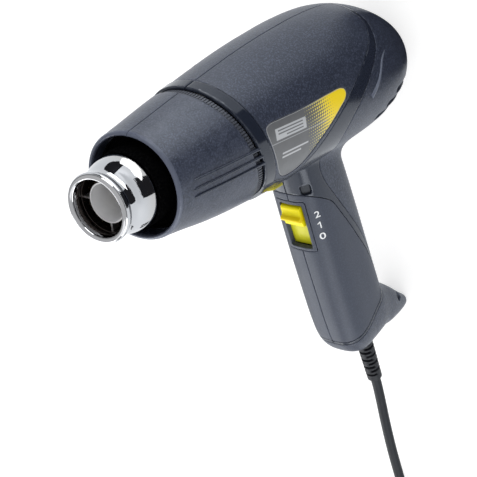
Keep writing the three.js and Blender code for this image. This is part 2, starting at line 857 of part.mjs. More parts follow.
// Chrome nozzle with a rolled lip, a waist and a wide foot, and the guide inside it
const nozzleWallProfile = [
  [tailRadius, nozzleFoot],
  [tailRadius, 232],
  [nozzleBaseRadius, 232.3],
  [nozzleBaseRadius - 0.2, 236],
  [19.3, 240],
  [18.1, 243.6],
  [waistRadius, 246.6],
  [waistRadius, 249.4],
  [17.8, 250.5],
  [lipRadius, 251.7],
  [lipRadius, 253.3],
  [17.7, 254.6],
  [16.6, toolLength],
  [15.5, 254.6],
  [boreRadius, 253.4],
  [boreRadius, 249],
];
const innerProfile = [
  [waistRadius - nozzleSheet, 247.6],
  [waistRadius - nozzleSheet, 246.2],
  [18.1 - nozzleSheet, 243],
  [tailRadius - nozzleSheet, 238],
  [tailRadius - nozzleSheet, nozzleFoot],
];
addNode('nozzle', lathe([...nozzleWallProfile, ...innerProfile, nozzleWallProfile[0]], 28), chrome);
const guideRadius = 10.9;
const guideOuter = waistRadius - nozzleSheet - seamGap;
let guide = tube(guideRadius, guideRadius - 0.9, 218, 246.4, 20)
  .add(tube(guideOuter, guideOuter - 0.8, 243.2, 247.1, 20));
for (let k = 0; k < 4; k += 1) {
  guide = guide.add(boxSolid(guideRadius - 0.5, guideOuter - 0.4, -0.5, 0.5, 240, 245.4).rotate([0, 0, k * 90]));
}
addNode('nozzle_guide', guide, steel);

// Slide switch: a yellow slider over a switch block behind the bezel
const travel = 14;
const bezelSolid = outerForm(-0.35)
  .subtract(outerForm(wall))
  .intersect(bezelSpace)
  .subtract(windowCut)
  .subtract(sliderPocket);
addNode('switch_bezel', mainPart(bezelSolid), slateGrip);
const knobTop = windowTop + 0.5;
const knobEnd = 15.9;
const knobHalf = windowHalf - 0.4;
const knobProfile = [
  [knobTop, sliderFace - 0.5],
  [knobEnd, sliderFace - 0.5],
  [knobEnd, 22.4],
  [12.6, 23],
  [11.4, 25],
  [10, 25.6],
  [8.6, 25],
  [7, 23.3],
  [knobTop, 22.9],
];
const slider = handleBox(-13, windowEnd - 0.8, sliderFace - 2, sliderFace, -sliderHalf, sliderHalf)
  .add(prism(knobProfile.map(([s, t]) => handlePoint(s, t)), -knobHalf, knobHalf));
addNode('switch_slider', slider, yellowPlastic);
const blockFace = sliderFace - 2.3;
const switchBlock = handleBox(-14, 46, 3, blockFace, -8.8, 8.8);
addNode('switch_block', switchBlock, blackPlastic);
const tabPlaces = [-8, 6, 20, 36];
tabPlaces.forEach((s, i) => {
  addNode(`switch_tab_${i + 1}`, handleBox(s - 2.4, s + 2.4, -4.5, 2.7, -0.4, 0.4), brass);
});

// Cord inside the handle, its clamp and the boot
addNode('cord_inner', handleLathe([[0, 66], [cordRadius, 66], [cordRadius, 103.4], [0, 103.4]], bootAxis, 12), cordGrey);
const clampScrewY = 6.2;
let clamp = handleBox(86, 94, bootAxis - 9.5, bootAxis - 3.4, -9, 9);
clamp = clamp.subtract(
  handleLathe([[0, 80], [cordRadius + 0.3, 80], [cordRadius + 0.3, 100], [0, 100]], bootAxis, 16),
);
for (const side of [-1, 1]) {
  clamp = clamp.subtract(handlePin(90, side * clampScrewY, 1.7, -20, 0));
  const name = side < 0 ? 'clamp_screw_left' : 'clamp_screw_right';
  addNode(name, handlePin(90, side * clampScrewY, 1.3, bootAxis - 10.5, bootAxis - 3.1)
    .add(handlePin(90, side * clampScrewY, 2.4, bootAxis - 3.1, bootAxis - 1.5)), steel);
}
addNode('cord_clamp', mainPart(clamp), blackPlastic);

const ribCount = 5;
const ribStart = 127;
const ribPitch = 6.2;
const bootEnd = 160.3;
const bootProfile = [[0, 103.7], [4.6, 103.7], [4.6, 105.3], [7.8, 105.3], [7.8, 108.9], [bootRadius, 108.9]];
for (let k = 0; k < ribCount; k += 1) {
  const s = ribStart + k * ribPitch;
  bootProfile.push([bootRadius, s], [3.9, s + 0.3], [3.9, s + 1.9], [bootRadius, s + 2.2]);
}
bootProfile.push([bootRadius, bootEnd - 2], [bootRadius - 1.4, bootEnd], [0, bootEnd]);
addNode('strain_relief', handleLathe(bootProfile, bootAxis, 14), blackRubber);

// Screws through the right half shell
for (const { name, x, z, head } of screwPlaces) {
  const screw = new THREE.LatheGeometry([
    [0, -6.6],
    [1.4, -6.6],
    [1.4, head + 0.3],
    [3, head + 0.3],
    [3, head + 1.7],
    [2.4, head + 2.4],
    [0, head + 2.4],
  ].map(([r, y]) => new THREE.Vector2(r, y)), screwSides);
  const node = addNode(name, geometryOf(solidOf(screw)), steel);
  node.position.set(x, 0, z);
}

// Cord route from the boot down to the floor and to the coil
const [bootX, bootZ] = handlePoint(bootEnd + seamGap, bootAxis);
const cordPoints = [
  [bootX, 0, bootZ],
  [bootX + downX * 6, 0, bootZ + downZ * 6],
  [-229, 0, 22.9],
  [-248, 0, 19.3],
  [-270, 0, 14.4],
  [-292, -0.6, 9.2],
  [-303, -1.4, 6.9],
  [-313, -4, 5.2],
  [-323, -8.6, 4],
  [-332, -14.3, 3.4],
  [-342, -18.9, 3.1],
  [-350, -21.1, cordFloor],
  [coilX + 6.3, coilY - coilRadius + 0.12, cordFloor],
  [coilX + 3.3, coilY - coilRadius, cordFloor],
];
const cordSection = new THREE.Shape();
for (let k = 0; k < 10; k += 1) {
  const angle = (k + 0.5) / 10 * Math.PI * 2;
  const [x, y] = [cordRadius * Math.cos(angle), cordRadius * Math.sin(angle)];
  if (k === 0) {
    cordSection.moveTo(x, y);
  } else {
    cordSection.lineTo(x, y);
  }
}
cordSection.closePath();
const cordCurve = new THREE.CatmullRomCurve3(cordPoints.map((p) => new THREE.Vector3(...p)), false, 'centripetal');
addNode('cord_free', new THREE.ExtrudeGeometry(cordSection, { steps: 24, extrudePath: cordCurve }), cordGrey);

// Two layers of loops: in along the floor, up a layer in half a turn, and out again
const coilTurns = coilTurnsPerLayer * 2 + 0.5;
function coilPoint(turn) {
  const inward = Math.min(turn, coilTurnsPerLayer);
  const outward = Math.max(0, turn - coilTurnsPerLayer - 0.5);
  const climb = THREE.MathUtils.clamp((turn - coilTurnsPerLayer) * 2, 0, 1);
  const radius = coilRadius - cordPitch * (inward - outward) - climbDip * Math.sin(climb * Math.PI);
  const angle = -Math.PI / 2 - turn * Math.PI * 2;
  const lift = THREE.MathUtils.smootherstep(climb, 0, 1);
  return [coilX + radius * Math.cos(angle), coilY + radius * Math.sin(angle), cordFloor + cordLayer * lift];
}
const coilPath = [[coilX + 3, coilY - coilRadius, cordFloor]];
const coilSteps = Math.round(coilTurns * coilStepsPerTurn);
for (let i = 0; i <= coilSteps; i += 1) {
  coilPath.push(coilPoint(i / coilStepsPerTurn));
}
const tailStart = coilPath[coilPath.length - 1];
for (const [run, rise] of [[3, 0.1], [6, 0.5], [9, 0.9]]) {
  coilPath.push([coilX - run, tailStart[1], tailStart[2] + (plugAxisZ - tailStart[2]) * rise]);
}
coilPath.push([coilX - tailRun, tailStart[1], plugAxisZ]);

function roundTube(path, radius, sides) {
  const rings = path.map((p, i) => {
    const before = path[Math.max(0, i - 1)];
    const after = path[Math.min(path.length - 1, i + 1)];
    const ahead = new THREE.Vector3(...after).sub(new THREE.Vector3(...before)).normalize();
    const across = new THREE.Vector3(-ahead.y, ahead.x, 0).normalize();
    const up = new THREE.Vector3().crossVectors(ahead, across);
    const ring = [];
    for (let k = 0; k < sides; k += 1) {
      const angle = k / sides * Math.PI * 2;
      const offset = across.clone().multiplyScalar(radius * Math.cos(angle));
      offset.addScaledVector(up, radius * Math.sin(angle));
      ring.push([p[0] + offset.x, p[1] + offset.y, p[2] + offset.z]);
    }
    return ring;
  });
  return loft(rings);
}
addNode('cord_coil', roundTube(coilPath, cordRadius, 6), cordGrey);

let leastGap = Infinity;
for (let i = 0; i < coilPath.length; i += 1) {
  for (let j = i + 12; j < coilPath.length; j += 1) {
    leastGap = Math.min(leastGap, new THREE.Vector3(...coilPath[i]).distanceTo(new THREE.Vector3(...coilPath[j])));
  }
}
const coilLength = coilPath.slice(1).reduce(
  (sum, p, i) => sum + new THREE.Vector3(...p).distanceTo(new THREE.Vector3(...coilPath[i])), 0);
console.log('coil gap', (leastGap - 2 * cordRadius).toFixed(2), 'coil', coilLength.toFixed(0),
  'free', cordCurve.getLength().toFixed(0));

// Mains plug lying flat at the end of the coil
const plug = new THREE.Group();
plug.name = 'plug';
plug.position.set(coilX - tailRun - seamGap, tailStart[1], plugAxisZ);
plug.rotation.y = -Math.PI / 2;
group.add(plug);
const sleeveLength = 22;
const plugStations = [
  [sleeveLength + 0, 7, 8],
  [sleeveLength + 5, 9.4, 11.8],
  [sleeveLength + 14, 10.7, 14.8],
  [sleeveLength + 24, 11, 15.5],
  [sleeveLength + 36, 11, 15.5],
];
let plugBody = loft(plugStations.map(([z, thick, wide]) => (
  superEllipse(thick, wide, 2.6, 20).map(([x, y]) => [x, y, z]))));
plugBody = plugBody.add(lathe([
  [0, 0],
  [4.4, 0],
  [5, 2],
  [6, sleeveLength - 2],
  [6.6, sleeveLength + 1],
  [0, sleeveLength + 1],
], 16));
addNode('plug_body', plugBody, blackRubber, plug);
const pinSpacing = 19;
const pinRadius = 2.4;
const pinLength = 19;
for (const side of [-1, 1]) {
  const pin = new THREE.CylinderGeometry(pinRadius, pinRadius, pinLength, 16);
  const node = addNode(side < 0 ? 'plug_pin_left' : 'plug_pin_right', geometryOf(solidOf(pin)), steel, plug);
  node.rotation.x = Math.PI / 2;
  node.position.set(0, side * pinSpacing / 2, sleeveLength + 36 + seamGap + pinLength / 2);
}

export default group;
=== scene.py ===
import math
import bmesh
import bpy
import numpy as np
from mathutils import Matrix, Vector


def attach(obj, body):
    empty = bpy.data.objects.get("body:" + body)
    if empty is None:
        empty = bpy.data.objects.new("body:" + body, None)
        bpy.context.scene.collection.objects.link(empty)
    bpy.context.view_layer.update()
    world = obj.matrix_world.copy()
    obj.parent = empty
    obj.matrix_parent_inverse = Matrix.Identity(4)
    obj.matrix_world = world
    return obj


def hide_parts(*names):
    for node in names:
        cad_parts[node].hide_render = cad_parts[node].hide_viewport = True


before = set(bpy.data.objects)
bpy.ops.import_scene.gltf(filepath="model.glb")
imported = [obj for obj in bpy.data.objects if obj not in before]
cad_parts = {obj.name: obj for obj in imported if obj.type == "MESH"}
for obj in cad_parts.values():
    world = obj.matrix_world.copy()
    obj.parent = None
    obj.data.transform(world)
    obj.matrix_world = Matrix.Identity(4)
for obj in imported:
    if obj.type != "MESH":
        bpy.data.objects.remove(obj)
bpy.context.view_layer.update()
mainBody = "body"
print("frame loaded")


# Camera at the photograph's viewing angle
cameraPlace = {
    "eye": (0.39429, -0.59193, 0.9056),
    "right": (-0.09635, -0.81228, -0.57526),
    "up": (0.89775, 0.17868, -0.40265),
    "back": (0.42985, -0.55523, 0.712),
    "lens": 150.94, "sensor": 36, "clipStart": 0.01,
    # middle and focal length of the photograph in pixels, and where the tool lies, in mm from the eye
    "middle": 238.5, "focal": 2000, "near": 700, "far": 1400, "step": 0.5, "halvings": 20,
}


def linked(name, data, material=None):
    piece = bpy.data.objects.new(name, data)
    bpy.context.collection.objects.link(piece)
    if material:
        data.materials.append(material)
    return piece


def makeCamera(place):
    data = bpy.data.cameras.new("photoCamera")
    data.lens = place["lens"]
    data.sensor_width = place["sensor"]
    data.clip_start = place["clipStart"]
    camera = linked("photoCamera", data)
    turn = Matrix((place["right"], place["up"], place["back"])).transposed().to_4x4()
    camera.matrix_world = Matrix.Translation(place["eye"]) @ turn
    bpy.context.scene.camera = camera


makeCamera(cameraPlace)
print("camera placed")


# Small mesh helpers, all in millimetres until the mesh is made
def smoothed(mesh, sharp):
    mesh.polygons.foreach_set("use_smooth", [True] * len(mesh.polygons))
    mesh.set_sharp_from_angle(angle=math.radians(sharp))


def meshObject(name, points, faces, material=None, sharp=40):
    # Without a sharp angle the faces stay flat
    mesh = bpy.data.meshes.new(name)
    metres = np.asarray(points, float) * 0.001
    mesh.from_pydata([tuple(p) for p in metres], [], [tuple(int(i) for i in f) for f in faces])
    mesh.validate()
    mesh.update()
    if sharp:
        smoothed(mesh, sharp)
    return linked(name, mesh, material)


def finished(piece, slot, *nodes, rider=mainBody):
    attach(piece, rider)
    if nodes:
        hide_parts(*nodes)


def recalc(piece, closer=0.000002):
    work = bmesh.new()
    work.from_mesh(piece.data)
    bmesh.ops.remove_doubles(work, verts=work.verts, dist=closer)
    bmesh.ops.recalc_face_normals(work, faces=work.faces)
    work.to_mesh(piece.data)
    work.free()


def solid(name, points, faces, finish, slot, *nodes, sharp=40):
    piece = meshObject(name, points, faces, finishes[finish], sharp)
    recalc(piece)
    finished(piece, slot, *nodes)
    return piece


def bake(piece):
    graph = bpy.context.evaluated_depsgraph_get()
    mesh = bpy.data.meshes.new_from_object(piece.evaluated_get(graph))
    piece.modifiers.clear()
    old = piece.data
    piece.data = mesh
    if old.users == 0:
        bpy.data.meshes.remove(old)


def unit(v):
    return v / np.maximum(np.linalg.norm(v, axis=-1, keepdims=True), 1e-9)


def between(u, low, high, first, second):
    return (high - u) / (high - low) * first + (u - low) / (high - low) * second


def spline(points, step, closed=False):
    # A smooth curve through the points, sampled about every step
    p = np.asarray(points, float)
    n = len(p)
    out = []
    for i in range(n if closed else n - 1):
        a = p[i - 1] if closed or i > 0 else 2 * p[0] - p[1]
        b, c = p[i], p[(i + 1) % n]
        d = p[(i + 2) % n] if closed or i + 2 < n else 2 * p[n - 1] - p[n - 2]
        ab, bc, cd = (max(np.linalg.norm(y - x), 1e-6) ** 0.5 for x, y in ((a, b), (b, c), (c, d)))
        count = max(2, int(math.ceil(np.linalg.norm(c - b) / step)))
        for k in range(count):
            u = k / count * bc
            q1 = between(u, -ab, 0.0, a, b)
            q2 = between(u, 0.0, bc, b, c)
            q3 = between(u, bc, bc + cd, c, d)
            r1 = between(u, -ab, bc, q1, q2)
            r2 = between(u, 0.0, bc + cd, q2, q3)
            out.append(between(u, 0.0, bc, r1, r2))
    if not closed:
        out.append(p[-1])
    return np.array(out)


def ringGrid(rows, closedRows=False, caps=False, closedAround=True):
    # Quads over rows of rings, with optional closing fans
    rows = np.asarray(rows)
    count, around = rows.shape[:2]
    points = rows.reshape(-1, 3)
    steps = around if closedAround else around - 1
    i, k = np.divmod(np.arange((count if closedRows else count - 1) * steps), steps)
    here, there = i * around, (i + 1) % count * around
    m = (k + 1) % around
    faces = np.stack([here + k, here + m, there + m, there + k], 1).tolist()
    if caps:
        low, high = len(points), len(points) + 1
        points = np.vstack([points, rows[0].mean(0), rows[-1].mean(0)])
        base = (count - 1) * around
        for k in range(around):
            m = (k + 1) % around
            faces += [(low, m, k), (high, base + k, base + m)]
    return points, faces


def circle(sides):
    return np.arange(sides) / sides * 2 * math.pi


def ringsAlong(path, across, up, radii, sides):
    # A tube round the path, its rings spanned by across and up
    rows = [[path[i] + radii[i] * (math.cos(a) * across[i] + math.sin(a) * up[i]) for a in circle(sides)]
            for i in range(len(path))]
    return ringGrid(rows, caps=True)


def turned(profile, sides, closed=True):
    # A lathe about Z from (radius, height) pairs
    rows = [[(r * math.cos(a), r * math.sin(a), z) for a in circle(sides)] for r, z in profile]
    return ringGrid(rows, closedRows=closed)


# Handle frame: s runs down the handle, t towards its front
handle = {"rootX": -58.5, "rootZ": 77.5, "lean": math.radians(16.2)}
down = np.array([-math.cos(handle["lean"]), 0, -math.sin(handle["lean"])])
front = np.array([-math.sin(handle["lean"]), 0, math.cos(handle["lean"])])
handleRoot = np.array([handle["rootX"], 0, handle["rootZ"]])


def handlePoint(s, t, y=0.0):
    return handleRoot + s * down + t * front + np.array([0, y, 0])


def handleCoords(p):
    rel = p - handleRoot
    return rel @ down, rel @ front, p[:, 1]


# Cord, coil and plug
cord = {
    "radius": 3.0, "pitch": 6.55, "layer": 6.8, "floor": 3.06,
    "coilX": -362.0, "coilY": 24.2, "coilRadius": 46.5, "turns": 3.25, "dip": 0.8,
    "tailRun": 13.0, "plugZ": 11.1, "bootAxis": -5.8, "bootEnd": 160.3, "gap": 0.3,
    "sides": 16, "stepsPerTurn": 40, "routeStep": 2.5,
    # free stretch: straight start out of the boot, points on the way, steps back from the coil's start
    "straight": 6,
    "way": [
        (-229, 0, 22.9), (-248, 0, 19.3), (-270, 0, 14.4), (-292, -0.6, 9.2), (-303, -1.4, 6.9),
        (-313, -4, 5.2), (-323, -8.6, 4), (-332, -14.3, 3.4), (-342, -18.9, 3.1), (-350, -21.1, 3.06),
    ],
    "approach": ((6.3, 0.12), (3.3, 0), (0, 0)),
    # rise of the cord's end up to the plug: run and share of the height
    "tailRise": ((3, 0.1), (6, 0.5), (9, 0.9)),
}


def cordPath(c):
    exitPoint = handlePoint(c["bootEnd"] + c["gap"], c["bootAxis"])
    low = c["coilY"] - c["coilRadius"]
    free = [exitPoint, exitPoint + c["straight"] * down, *c["way"]]
    free += [(c["coilX"] + back, low + out, c["floor"]) for back, out in c["approach"]]
    path = list(spline(free, c["routeStep"]))[:-1]
    total = c["turns"] * 2 + 0.5
    steps = int(round(total * c["stepsPerTurn"]))
    for i in range(steps + 1):
        turn = i / c["stepsPerTurn"]
        inward = min(turn, c["turns"])
        outward = max(0, turn - c["turns"] - 0.5)
        climb = min(1, max(0, (turn - c["turns"]) * 2))
        radius = c["coilRadius"] - c["pitch"] * (inward - outward) - c["dip"] * math.sin(climb * math.pi)
        angle = -math.pi / 2 - turn * 2 * math.pi
        # eases from the first layer, at 0, up to the second, at 1
        lift = climb ** 3 * (climb * (climb * 6 - 15) + 10)
        path.append((c["coilX"] + radius * math.cos(angle), c["coilY"] + radius * math.sin(angle),
                     c["floor"] + c["layer"] * lift))
    x, y, z = path[-1]
    rise = c["plugZ"] - z
    tail = [(x, y, z)] + [(c["coilX"] - run, y, z + rise * part) for run, part in c["tailRise"]]
    tail.append((c["coilX"] - c["tailRun"], y, c["plugZ"]))
    path += list(spline(tail, c["routeStep"]))[1:]
    return np.array([np.asarray(p, float) for p in path])


def tubeAlong(path, radius, sides):
    ahead = unit(np.gradient(path, axis=0))
    across = unit(np.cross(ahead, (0, 0, 1.0)))
    return ringsAlong(path, across, np.cross(across, ahead), [radius] * len(path), sides)


# Smooth forms of the tool. Body: height, centre, half depth, half width. Handle: the same along s.
# Heel: t, its two ends along s, half width.
form = {
    "body": [
        (0, -6.9, 12.3, 14), (2, -6.9, 16.6, 19), (6, -6.8, 21, 23.5), (12, -6.6, 25.3, 28),
        (20, -6, 29.6, 31.9), (30, -5.1, 33.7, 35), (42, -4, 36.9, 36.8), (56, -2.8, 38.8, 37.8),
        (70, -2.1, 39.6, 38), (86, -1.7, 40, 37.8), (104, -1.6, 40, 37.1), (122, -1.5, 39.5, 36.4),
        (140, -1.5, 38.5, 35.4), (156, -1.5, 37.2, 34.4), (172, -1.5, 35.7, 33.4),
        (190, -1.2, 33.7, 32.2), (210, -0.5, 30.8, 30.2), (223, -0.1, 29, 29), (226, 0, 28.6, 28.6),
    ],
    "handle": [
        (-34, 0, 20.5, 16), (-6, 0, 21.2, 16.6), (20, 0.1, 21.8, 17), (50, 0.2, 22.2, 17.2),
        (85, 0, 22.2, 17.4), (100, -0.4, 22, 17.2), (108, -0.8, 21.2, 16.6), (115, -1.6, 19.2, 15),
        (120, -2.6, 16, 12.4), (123, -3.6, 12.6, 9.6), (124.6, -4.4, 9, 6.8),
    ],
    "heel": [
        (-4, 88, 121, 14), (-14, 88.4, 125, 15.2), (-20, 92.4, 127.8, 15), (-27, 99.4, 129.8, 14),
        (-33, 107, 131.2, 12.6), (-38, 114.6, 131.9, 11.2), (-42, 120.4, 132, 9.8), (-46.4, 126, 131.2, 8),
    ],
    "bodyPower": 2.05, "handlePower": 2.9, "heelPower": 2.6,
    "handleEnds": (-34, 124.6), "heelEnds": (-50, -6),
    "frontBlend": 1.4, "backBlend": 10.0, "blendFrom": 100, "blendOver": 35,
    "heelBlend": 5.0, "floorBlend": 1.2, "voxel": 1.3,
}


def smoothTable(rows, step=0.25):
    rows = np.array(sorted(rows), float)
    x, y = rows[:, 0], rows[:, 1:]
    h = np.diff(x)[:, None]
    rise = np.diff(y, axis=0) / h
    slope = np.zeros_like(y)
    inner = rise[:-1] * rise[1:] > 0
    w1, w2 = 2 * h[1:] + h[:-1], h[1:] + 2 * h[:-1]
    with np.errstate(divide="ignore", invalid="ignore"):
        mean = (w1 + w2) / (w1 / rise[:-1] + w2 / rise[1:])
    slope[1:-1] = np.where(inner, mean, 0)
    slope[0], slope[-1] = rise[0], rise[-1]
    grid = np.append(np.arange(x[0], x[-1], step), x[-1])
    i = np.clip(np.searchsorted(x, grid, side="right") - 1, 0, len(x) - 2)
    u = ((grid - x[i]) / h[i, 0])[:, None]
    hh = h[i]
    out = ((2 * u ** 3 - 3 * u ** 2 + 1) * y[i] + (u ** 3 - 2 * u ** 2 + u) * hh * slope[i]
           + (-2 * u ** 3 + 3 * u ** 2) * y[i + 1] + (u ** 3 - u ** 2) * hh * slope[i + 1])
    return grid, out


bodyTable = smoothTable(form["body"])
handleTable = smoothTable(form["handle"])
heelTable = smoothTable(form["heel"])


def lookUp(table, at):
    return [np.interp(at, table[0], table[1][:, k]) for k in range(3)]


def squircle(a, b, halfA, halfB, power):
    reach = (np.abs(a / halfA) ** power + np.abs(b / halfB) ** power) ** (1 / power)
    return (reach - 1) * np.sqrt(halfA * halfB)


def capped(side, along, ends):
    return np.maximum(np.maximum(side, along - ends[1]), ends[0] - along)


def softMin(a, b, k):
    h = np.maximum(k - np.abs(a - b), 0) / k
    return np.minimum(a, b) - h * h * k / 4


def bodyDistance(p):
    cx, hx, hy = lookUp(bodyTable, p[:, 2])
    return squircle(p[:, 0] - cx, p[:, 1], hx, hy, form["bodyPower"])


def handleDistance(p):
    s, t, y = handleCoords(p)
    c, depth, width = lookUp(handleTable, s)
    return capped(squircle(t - c, y, depth, width, form["handlePower"]), s, form["handleEnds"])


def heelDistance(p):
    s, t, y = handleCoords(p)
    s0, s1, width = lookUp(heelTable, t)
    side = squircle(s - (s0 + s1) / 2, y, (s1 - s0) / 2, width, form["heelPower"])
    return capped(side, t, form["heelEnds"])


def toolDistance(p):
    near = np.clip((form["blendFrom"] - p[:, 2]) / form["blendOver"], 0, 1)
    blend = form["frontBlend"] + (form["backBlend"] - form["frontBlend"]) * near * near * (3 - 2 * near)
    d = softMin(bodyDistance(p), handleDistance(p), blend)
    d = softMin(d, heelDistance(p), form["heelBlend"])
    return -softMin(-d, p[:, 2], form["floorBlend"])


def slopeOf(distance, p, e=0.05):
    out = np.empty_like(p)
    for k in range(3):
        step = np.zeros(3)
        step[k] = e
        out[:, k] = (distance(p + step) - distance(p - step)) / (2 * e)
    return out


def settle(distance, p, rounds=3, limit=1.5):
    for _ in range(rounds):
        g = slopeOf(distance, p)
        size = np.maximum((g * g).sum(1), 0.05)
        move = -(distance(p) / size)[:, None] * g
        length = np.linalg.norm(move, axis=1)
        p = p + move * np.minimum(1, limit / np.maximum(length, 1e-9))[:, None]
    return p


def normalsAt(distance, p):
    return unit(slopeOf(distance, p))


def squareRound(angles, power):
    # A circle's cosines and sines, drawn out towards a square
    c, s = np.cos(angles), np.sin(angles)
    return np.sign(c) * np.abs(c) ** (2 / power), np.sign(s) * np.abs(s) ** (2 / power)


def loftRows(name, place, sides=48):
    a, b = squareRound((np.arange(sides) + 0.5) / sides * 2 * math.pi, form[name + "Power"])
    return [[place(row, u, v) for u, v in zip(a, b)] for row in form[name]]


def joined(parts):
    points, faces = [], []
    for p, f in parts:
        faces += [tuple(i + len(points) for i in face) for face in f]
        points += [tuple(q) for q in p]
    return points, faces


def baseSurface():
    # One closed skin over body, handle and heel, settled on the smooth form
    lofts = [
        loftRows("body", lambda r, u, v: (r[1] + r[2] * u, r[3] * v, r[0])),
        loftRows("handle", lambda r, u, v: handlePoint(r[0], r[1] + r[2] * u, r[3] * v)),
        loftRows("heel", lambda r, u, v: handlePoint((r[1] + r[2]) / 2 + (r[2] - r[1]) / 2 * u, r[0],
                                                     r[3] * v)),
    ]
    rough = meshObject("roughForm", *joined([ringGrid(rows, caps=True) for rows in lofts]), sharp=None)
    remesh = rough.modifiers.new("voxels", "REMESH")
    remesh.mode = "VOXEL"
    remesh.voxel_size = form["voxel"] * 0.001
    bake(rough)
    mesh = rough.data
    p = np.empty(len(mesh.vertices) * 3)
    mesh.vertices.foreach_get("co", p)
    p = p.reshape(-1, 3) * 1000
    mesh.calc_loop_triangles()
    t = np.empty(len(mesh.loop_triangles) * 3, int)
    mesh.loop_triangles.foreach_get("vertices", t)
    t = t.reshape(-1, 3)
    bpy.data.objects.remove(rough)
    p = settle(toolDistance, p, 4)
    for _ in range(6):
        p = settle(toolDistance, relaxed(p, t), 1)
    return settle(toolDistance, p, 2), t


def relaxed(p, t, share=0.5):
    total = np.zeros_like(p)
    count = np.zeros(len(p))
    for a, b in ((0, 1), (1, 2), (2, 0)):
        for i, j in ((a, b), (b, a)):
            np.add.at(total, t[:, i], p[t[:, j]])
            np.add.at(count, t[:, i], 1)
    return p + share * (total / np.maximum(count, 1)[:, None] - p)


# Outlines of the skins in the mid-plane: the smooth run, then far corners that close it
outline = {
    "rear": ([
        (34, 39), (29, 40.4), (24.7, 42.3), (20.8, 45.7), (16.1, 49.8), (11.7, 55.1), (5.8, 62.3),
        (0.3, 68.6), (-5.4, 74.9), (-10.9, 81), (-18.3, 86.6), (-27, 88.6), (-36, 89), (-44.1, 88.6),
        (-48.2, 87.4), (-52.3, 85.6), (-60.6, 80.3), (-70.4, 73.4), (-83.5, 64), (-97.8, 54.2),
        (-112, 46.2), (-130, 37.9), (-141, 34.4), (-148, 36.4), (-152.4, 43.6), (-158, 50.6),
        (-163.2, 57.8), (-167.6, 66), (-171, 80),
    ], [(-185, 100), (-240, 100), (-240, -8), (60, -8), (60, 38)]),
    "panel": ([
        (34, 42.4), (30, 43.4), (26.4, 45.4), (22.4, 50.5), (18.5, 56.1), (15.8, 60.8), (12, 68),
        (7, 77), (2.2, 84.2), (-1.6, 89.6), (-6.8, 96.8), (-13, 105), (-19.4, 113), (-24.9, 120.1),
        (-28.4, 125.4), (-29.6, 131), (-28.2, 138), (-25.6, 144.2),
    ], [(-22, 170), (60, 200), (60, 41.5)]),
    "label": ([
        (9.9, 154.4), (8.4, 156.6), (4, 156.3), (-1, 154.8), (-9.6, 151.6), (-19.1, 146.8), (-23.4, 143),
        (-26.2, 137.3), (-26.6, 131.2), (-25, 126), (-21.2, 120.8), (-15.2, 113.6), (-8.5, 103.6),
        (-2.9, 95.5), (0.6, 90.2), (3, 88.7), (5.8, 89.3), (7.5, 92), (8.2, 102), (8.5, 116.3),
        (8.8, 129.6), (9.5, 141.5),
    ], None),
    "grip": ([
        (-57.6, 100), (-58.6, 96), (-63, 86.9), (-67.1, 80.8), (-76.5, 73.6), (-86.3, 66.6),
        (-100.2, 57.2), (-112.6, 48.6), (-130.4, 39.9), (-140.8, 36.9), (-146.6, 38.8), (-150.8, 45.4),
        (-156.4, 52.4), (-161.4, 59.4), (-165.4, 67),
    ], [(-168, 80), (-162, 128), (-50, 128)]),
}
ringPlanes = {"slant": 0.355, "grooveFront": 170.0, "grooveRear": 165.3, "collarRear": 156.3}


def outlineField(name, p, n, chunk=6000, sure=0.05):
    # Signed distance in the mid-plane to an outline, below zero inside it
    run, corners = outline[name]
    line = spline(run, 1.0, closed=corners is None)
    if corners:
        line = np.vstack([line, corners])
    nxt = np.roll(line, -1, axis=0)
    edge = nxt - line
    length = np.maximum((edge ** 2).sum(1), 1e-9)
    out = np.empty(len(p))
    for start in range(0, len(p), chunk):
        q = p[start:start + chunk][:, [0, 2]]
        rel = q[:, None, :] - line[None]
        u = np.clip((rel * edge[None]).sum(2) / length, 0, 1)
        away = rel - u[..., None] * edge[None]
        dist = (away ** 2).sum(2)
        best = dist.argmin(1)
        rows = np.arange(len(q))
        d = np.sqrt(dist[rows, best])
        above = (line[None, :, 1] > q[:, 1:2]) != (nxt[None, :, 1] > q[:, 1:2])
        with np.errstate(divide="ignore", invalid="ignore"):
            cross = line[None, :, 0] + (q[:, 1:2] - line[None, :, 1]) * edge[None, :, 0] / edge[None, :, 1]
        inside = (above & (q[:, 0:1] < cross)).sum(1) % 2 == 1
        side = np.where(inside, -1.0, 1.0)
        outward = away[rows, best] / np.maximum(d, 1e-9)[:, None] * side[:, None]
        square = np.stack([edge[best, 1], -edge[best, 0]], 1) / np.sqrt(length[best])[:, None]
        way = np.where(d[:, None] > sure, outward, square)
        slope = np.stack([way[:, 0], np.zeros(len(q)), way[:, 1]], 1)
        out[start:start + chunk] = scaled(d * side, slope, n[start:start + chunk])
    return out


def scaled(value, slope, n, least=0.35):
    # Turns a value in space into a distance along the surface
    along = slope - (slope * n).sum(1)[:, None] * n
    return value / np.maximum(np.linalg.norm(along, axis=1), least)


def planeField(p, n, base, slant):
    slope = np.tile(np.array([-slant, 0, 1.0]) / math.hypot(1, slant), (len(p), 1))
    return scaled((p[:, 2] - base - slant * p[:, 0]) / math.hypot(1, slant), slope, n)


